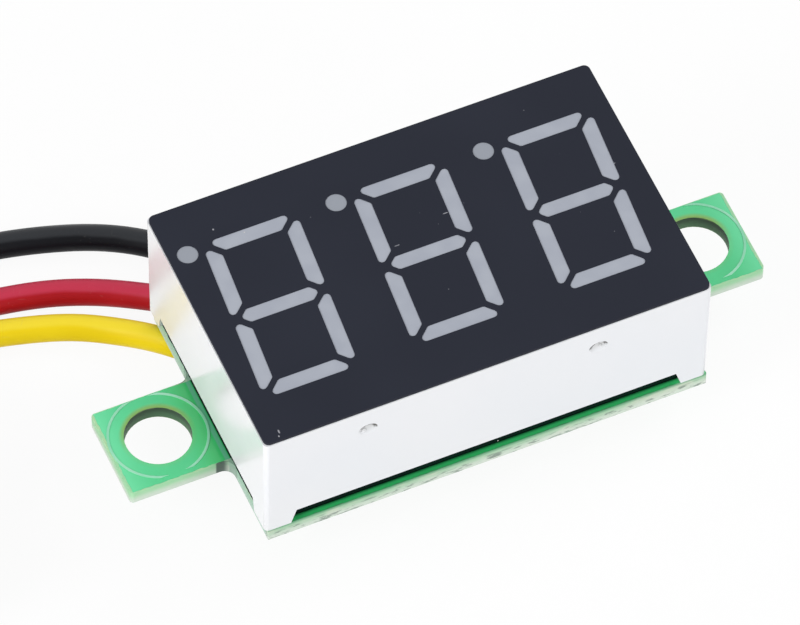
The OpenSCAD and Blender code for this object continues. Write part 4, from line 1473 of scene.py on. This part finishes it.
@dataclass(frozen=True)
class Display:
    """The moulded housing, its face and what is inside it."""

    edge_r: float = 0.07
    draft: Plan = (0.03, 0.07)
    skin: float = 0.6
    mark_margin: float = 0.05
    mark_depth: float = 0.3
    floor_tilt: Plan = (0.55, 0.45)
    flare: float = 0.12
    flare_x: Plan = (1.24, 1.64)
    flare_z: Plan = (0.5, 1.2)
    nubs: tuple[tuple[float, float, float], ...] = ((-0.17, -0.02, 0.15), (0.1, 0.05, 0.1))
    nub_profile: Path = ((0.12, 1.0), (0.05, 0.95), (0.01, 0.75), (-0.01, 0.35))
    nub_tear: float = 0.3
    insides: tuple[tuple[str, Slot], ...] = (
        ("face_film", Slot.BLACK_FILM),
        ("segment_resin", Slot.GREY_RESIN),
        ("die_board", Slot.BARE_LAMINATE),
        ("light_dies", Slot.DIE),
        ("back_potting", Slot.POTTING),
        ("display_pins", Slot.TINNED_METAL),
    )

    def outside(self, p: Vector, high: Vector) -> list[bool]:
        """Says whether a point is on an outer wall along X, and along Y."""
        return [abs(p[i]) > high[i] - self.skin for i in (0, 1)]

    def drafted(self, p: Vector, low: Vector, high: Vector) -> Vector:
        """Leans the outer walls, lowers and flattens the gate marks and flares the feet.

        Args:
            p: a point of the housing.
            low: the housing's low corner.
            high: the housing's high corner.

        Returns:
            The moved point.
        """
        lean = (high.z - p.z) / (high.z - low.z)
        sides = self.outside(p, high)
        x, y = (
            v - math.copysign(d * lean, v) if side else v
            for v, d, side in zip(p, self.draft, sides)
        )
        z = p.z
        gate = min(GATES.x, key=lambda g: abs(p.x - g))
        depth, aside, rise = p.y - low.y, p.x - gate, p.z - GATES.z
        reach = GATES.radius + self.mark_margin
        if depth < self.mark_depth and max(abs(rise), abs(aside)) < reach:
            if depth > self.mark_margin:
                share, tilt = self.floor_tilt
                y = low.y + depth * (share + tilt * rise / GATES.radius)
            x, z = gate + aside * GATES.squash[0], GATES.z - GATES.drop + rise * GATES.squash[1]
        near_notch = self.flare_x[0] < high.x - abs(p.x) < self.flare_x[1]
        if sides[1] and near_notch and self.flare_z[0] < z - low.z < self.flare_z[1]:
            x -= math.copysign(self.flare, x)
        return Vector((x, y, z))

    def gate_nubs(self, front: float) -> None:
        """Makes the torn stubs that the moulding gates left in the two marks.

        Args:
            front: the Y of the housing's near wall.
        """
        maker = MeshMaker()
        for gate, (dx, dz, radius) in zip(GATES.x, self.nubs):
            rings = []
            for depth, share in self.nub_profile:
                middle = Vector((gate + dx, front + depth, GATES.z - GATES.drop + dz))
                ring = []
                for spoke in circle_ring(Vector(), X_AXIS, Z_AXIS, 1.0, 14):
                    place = spoke * 1.7 + Vector((gate, depth * 9, 0))
                    torn = 1 + self.nub_tear * noise.noise(place)
                    ring.append(middle + spoke * radius * share * torn)
                rings.append(ring)
            maker.loft(rings, cap_start=False)
        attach(dress(maker.build("gate_nubs"), Slot.WHITE_PLASTIC), METER)
        log.info("gate_nubs: %d stubs", len(GATES.x))

    def build(self) -> None:
        """Dresses the display's pieces."""
        low, high = box_mm("display_housing")

        def on_outside(a: Vector, b: Vector) -> bool:
            """Says whether an edge is on the outside of the housing."""
            return all(any(self.outside(p, high)) for p in (a, b))

        def shape(p: Vector) -> Vector:
            """Gives a point's place on the finished housing."""
            return self.drafted(p, low, high)

        dress(softened("display_housing", self.edge_r, on_outside, shape), Slot.WHITE_PLASTIC)
        self.gate_nubs(low.y)
        for node, slot in self.insides:
            dress(frame["nodes"][node], slot)
        log.info("display: housing softened by %.2f mm", self.edge_r)


@dataclass(frozen=True)
class Board:
    """The circuit board and its printed rings and pads."""

    edge_r: float = 0.035

    def squared(self, p: Vector) -> Vector:
        """Moves a point of a rounded corner of the board's body to the square corner.

        Args:
            p: a point of the board.

        Returns:
            The point, moved if it is on a rounded corner.
        """
        inner = [half - PLAN.corner_r for half in PLAN.body]
        away = [p[i] - PLAN.middle[i] for i in (0, 1)]
        past = [abs(a) - i for a, i in zip(away, inner)]
        if min(past) < 1e-3 or max(past) > PLAN.corner_r + 0.01:
            return p
        reach = PLAN.corner_r / max(past)
        x, y = (
            m + math.copysign(i + b * reach, a)
            for m, i, b, a in zip(PLAN.middle, inner, past, away)
        )
        return Vector((x, y, p.z))

    def build(self) -> None:
        """Dresses the board's pieces."""
        dress(softened("circuit_board", self.edge_r, shape=self.squared), Slot.SOLDER_MASK)
        for node, slot in (("silkscreen_rings", Slot.WHITE_INK), ("lead_pads", Slot.SOLDER)):
            dress(frame["nodes"][node], slot)
        log.info("board: edges softened by %.3f mm", self.edge_r)


@dataclass(frozen=True)
class Land:
    """A tinned land: the middle, the size, and how far a pair stands to the two sides."""

    x: float
    y: float
    long: float
    wide: float
    reach: float = 0.0

    def moved(self, x: float, side: int) -> "Land":
        """Gives the same land further along X, on one side of the board's middle line."""
        return replace(self, x=self.x + x, y=self.y * side)


def chip(x: float, y: float) -> Land:
    """Gives the pair of lands of a large chip."""
    return Land(x, y, 0.75, 1.1, 0.72)


@dataclass(frozen=True)
class BackSide:
    """The raised tracks, vias, soldering lands and solder on the back of the board."""

    root: float = 0.005
    copper: float = 0.035
    proud: float = 0.004
    slope: float = 0.85
    signal_w: float = 0.26
    trimmer_w: float = 0.36
    power_w: float = 0.7
    pin_row: float = 5.08
    pin_pitch: float = 2.54
    pins: int = 6
    leg_pitch: float = 1.27
    legs: int = 7
    leg_land: Land = Land(-2.51, 2.95, 0.62, 1.0)
    resistor_x: tuple[float, ...] = (-1.85, 0.25, 2.35, 4.45)
    resistor_land: Land = Land(0.0, 3.6, 0.55, 0.72, 0.48)
    land_r: float = 0.12
    signals: tuple[Path, ...] = (
        ((-3.81, 5.08), (-3.81, 4.1), (-3.3, 3.6), (-2.2, 3.6)),
        ((-1.27, 5.08), (-1.27, 4.2), (-0.67, 3.6), (-0.1, 3.6)),
        ((1.27, 5.08), (1.27, 4.2), (1.7, 3.6), (2.0, 3.6)),
        ((3.81, 5.08), (3.81, 4.2), (4.0, 3.6), (4.2, 3.6)),
        ((-1.5, 3.6), (-1.24, 3.4), (-1.24, 2.8)),
        ((0.6, 3.6), (1.3, 3.2), (1.3, 2.8)),
        ((2.7, 3.6), (3.3, 3.6), (3.84, 3.2), (3.84, 2.8)),
        ((4.8, 3.6), (5.11, 3.4), (5.11, 2.8)),
        ((6.35, 5.08), (6.35, 1.4)),
    )
    power: tuple[Path, ...] = (
        ((-7.2, 3.4), (-7.2, 2.1), (-5.7, 1.5), (-4.7, 0.6), (-4.6, -0.2)),
        ((-4.6, -3.0), (-5.3, -3.3), (-6.6, -2.5)),
        ((-5.4, 3.4), (-4.6, 2.4), (-3.4, 2.4), (-2.51, 2.8)),
        ((-9.0, 3.4), (-9.0, 2.6), (-10.2, 2.0)),
        ((-6.9, -0.9), (-5.9, -0.9), (-5.9, 0.6), (-6.9, 0.6)),
        ((-8.6, -4.3), (-9.9, -4.3), (-10.1, -2.6), (-10.1, -1.2)),
    )
    trimmer: tuple[Path, ...] = (
        ((7.35, -1.05), (7.35, -1.8), (7.1, -2.4)),
        ((9.25, -1.05), (9.25, -1.8), (9.5, -2.4)),
        ((8.3, 2.85), (8.3, 3.5), (8.8, 3.9), (9.4, 3.9)),
        ((7.7, -2.4), (8.5, -2.9), (8.6, -3.6)),
        ((6.35, -1.4), (6.35, 1.4)),
    )
    vias: Path = (
        (-10.2, 2.0), (-9.9, 5.6), (-8.1, 5.7), (9.9, 5.6), (10.2, -5.5),
        (6.35, 0.0), (-3.7, 1.2), (-3.6, -1.0), (-9.6, -5.7), (-7.9, -5.7),
        (8.3, 5.4), (8.2, -5.4), (10.5, 1.8), (10.5, -0.6),
    )
    lands: tuple[Land, ...] = (
        chip(7.4, -2.4), chip(9.8, -2.4), chip(9.8, 3.9),
        chip(8.6, -3.8), chip(-6.2, -3.75), chip(-8.6, -4.3),
        Land(-4.6, 0.2, 0.9, 1.0), Land(-4.6, -3.4, 0.9, 1.0), Land(-10.2, -0.9, 0.8, 2.2),
        Land(-6.6, -2.4, 1.1, 0.75), Land(-6.6, -0.9, 1.1, 0.75), Land(-6.6, 0.6, 1.1, 0.75),
        Land(8.3, 3.0, 0.9, 0.7), Land(7.35, -1.2, 0.9, 0.7), Land(9.25, -1.2, 0.9, 0.7),
    )
    via_profile: Path = ((0.34, 0.005), (0.31, -0.04), (0.2, -0.045), (0.15, -0.02), (0.05, 0.0))
    land_profile: Path = ((0.0, 0.005), (0.0, -0.02), (0.05, -0.045))
    joint_profile: Path = (
        (0.81, 0.0), (0.76, -0.05), (0.63, -0.16), (0.52, -0.32),
        (0.44, -0.52), (0.39, -0.72), (0.34, -0.84), (0.24, -0.9),
    )
    mound_profile: Path = (
        (0.7, -0.05), (0.68, -0.12), (0.62, -0.35), (0.55, -0.62),
        (0.42, -0.88), (0.24, -1.02), (0.08, -1.06),
    )
    mound_stretch: Plan = (0.95, 1.2)
    mound_shift: float = 0.1
    joint_wobble: float = 0.05
    mound_wobble: float = 0.1
    surface: float = box_mm("circuit_board")[0].z

    def track(self, maker: MeshMaker, points: Path, width: float) -> None:
        """Adds a raised track with rounded corners and ends.

        Args:
            maker: where it goes.
            points: the track's middle line.
            width: the track's width.
        """
        high, low = self.surface + self.root, self.surface - self.copper
        line = [Vector((x, y, 0)) for x, y in points]
        section = ((-1, high), (1, high), (self.slope, low), (-self.slope, low))
        for a, b in zip(line, line[1:]):
            side = (b - a).cross(Z_AXIS).normalized() * width / 2
            maker.loft([[p + side * share + Z_AXIS * z for share, z in section] for p in (a, b)])
        ends = ((width / 2, self.root), (width / 2 * self.slope, -self.copper - self.proud))
        for at in points:
            self.turned(maker, at, ends)

    def turned(
        self,
        maker: MeshMaker,
        at: Plan,
        profile: Path,
        stretch: Plan = (1.0, 1.0),
        wobble: float = 0.0,
    ) -> None:
        """Adds a turned shape that hangs from the board's back.

        Args:
            maker: where it goes.
            at: the X and Y of its axis.
            profile: the radius and the height over the surface of each ring.
            stretch: how much it is stretched along X and Y.
            wobble: the share by which its radius varies.
        """
        rings = []
        for radius, rise in profile:
            ring = []
            for p in circle_ring(Vector(), X_AXIS, Y_AXIS, 1.0, 20):
                r = radius * (1 + wobble * noise.noise(p * 1.3 + Vector((*at, rise))))
                x, y = (a + v * r * s for a, v, s in zip(at, p, stretch))
                ring.append(Vector((x, y, self.surface + rise)))
            rings.append(ring)
        maker.loft(rings)

    def land(self, maker: MeshMaker, land: Land) -> None:
        """Adds one tinned land with rounded corners, or two.

        Args:
            maker: where they go.
            land: the land.
        """
        for x in (land.x - land.reach, land.x + land.reach)[: 2 if land.reach else 1]:
            rings = []
            for inset, rise in self.land_profile:
                middle = Vector((x, land.y, self.surface + rise))
                a, b = land.long / 2 - inset, land.wide / 2 - inset
                ways = ((-1, -1), (1, -1), (1, 1), (-1, 1))
                corners = [middle + Vector((i * a, j * b, 0)) for i, j in ways]
                rings.append(rounded_loop(corners, self.land_r, 3))
            maker.loft(rings)

    def copper_pieces(self) -> None:
        """Makes the tracks and vias, and the tinned lands."""
        tracks, lands = MeshMaker(), MeshMaker()
        for side in (-1, 1):
            for points in self.signals:
                self.track(tracks, tuple((x, side * y) for x, y in points), self.signal_w)
            for i in range(self.legs):
                self.land(lands, self.leg_land.moved(self.leg_pitch * i, side))
            for x in self.resistor_x:
                self.land(lands, self.resistor_land.moved(x, side))
        for paths, width in ((self.power, self.power_w), (self.trimmer, self.trimmer_w)):
            for points in paths:
                self.track(tracks, points, width)
        for at in self.vias:
            self.turned(tracks, at, self.via_profile)
        for land in self.lands:
            self.land(lands, land)
        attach(dress(tracks.build("board_tracks"), Slot.SOLDER_MASK), METER)
        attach(dress(lands.build("solder_lands"), Slot.SOLDER), METER)
        log.info("board_tracks, solder_lands: %d vias", len(self.vias))

    def solder(self) -> None:
        """Makes the joints round the pins, and the mounds on the leads' pads."""
        joints, mounds = MeshMaker(), MeshMaker()
        for side in (-1, 1):
            for i in range(1 if side > 0 else 0, self.pins):
                at = ((i - (self.pins - 1) / 2) * self.pin_pitch, side * self.pin_row)
                self.turned(joints, at, self.joint_profile, wobble=self.joint_wobble)
        for lead in LEADS:
            at = (lead.pad[0], lead.pad[1] + self.mound_shift)
            self.turned(mounds, at, self.mound_profile, self.mound_stretch, self.mound_wobble)
        pairs = ((joints, "pin_joints", "pin_solder"), (mounds, "lead_mounds", "lead_solder"))
        for maker, name, node in pairs:
            piece = dress(maker.build(name), Slot.SOLDER)
            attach(piece, METER)
            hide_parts(node)
            log.info("%s: %d points", name, len(maker.points))

    def build(self) -> None:
        """Makes everything on the board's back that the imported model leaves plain."""
        self.copper_pieces()
        self.solder()


@dataclass(frozen=True)
class Components:
    """The packaged parts on the back of the board, each with the rounding of its edges."""

    finishes: tuple[tuple[str, Slot, float], ...] = (
        ("controller_body", Slot.PACKAGE_BLACK, 0.06),
        ("controller_leads", Slot.TINNED_METAL, 0.03),
        ("regulator_body", Slot.PACKAGE_BLACK, 0.06),
        ("regulator_leads", Slot.TINNED_METAL, 0.03),
        ("diode_body", Slot.PACKAGE_BLACK, 0.06),
        ("diode_leads", Slot.TINNED_METAL, 0.02),
        ("resistor_bodies", Slot.RESISTOR_GLAZE, 0.02),
        ("capacitor_bodies", Slot.CAPACITOR_CERAMIC, 0.04),
        ("chip_terminals", Slot.SOLDER, 0.04),
        ("trimmer_base", Slot.TRIMMER_PLASTIC, 0.05),
        ("trimmer_rotor", Slot.ROTOR_METAL, 0.03),
        ("trimmer_terminals", Slot.TINNED_METAL, 0.04),
    )

    def build(self) -> None:
        """Dresses every part, with its edges softened."""
        for node, slot, width in self.finishes:
            dress(softened(node, width), slot)
            log.info("%s: edges softened by %.2f mm", node, width)


def main() -> None:
    """Builds the studio and every piece of the meter."""
    logging.basicConfig(level=logging.INFO, format="%(message)s")
    for part in (Studio(), *LEADS, CoilTie(), Display(), Board(), BackSide(), Components()):
        part.build()


if __name__ == "__main__":
    main()
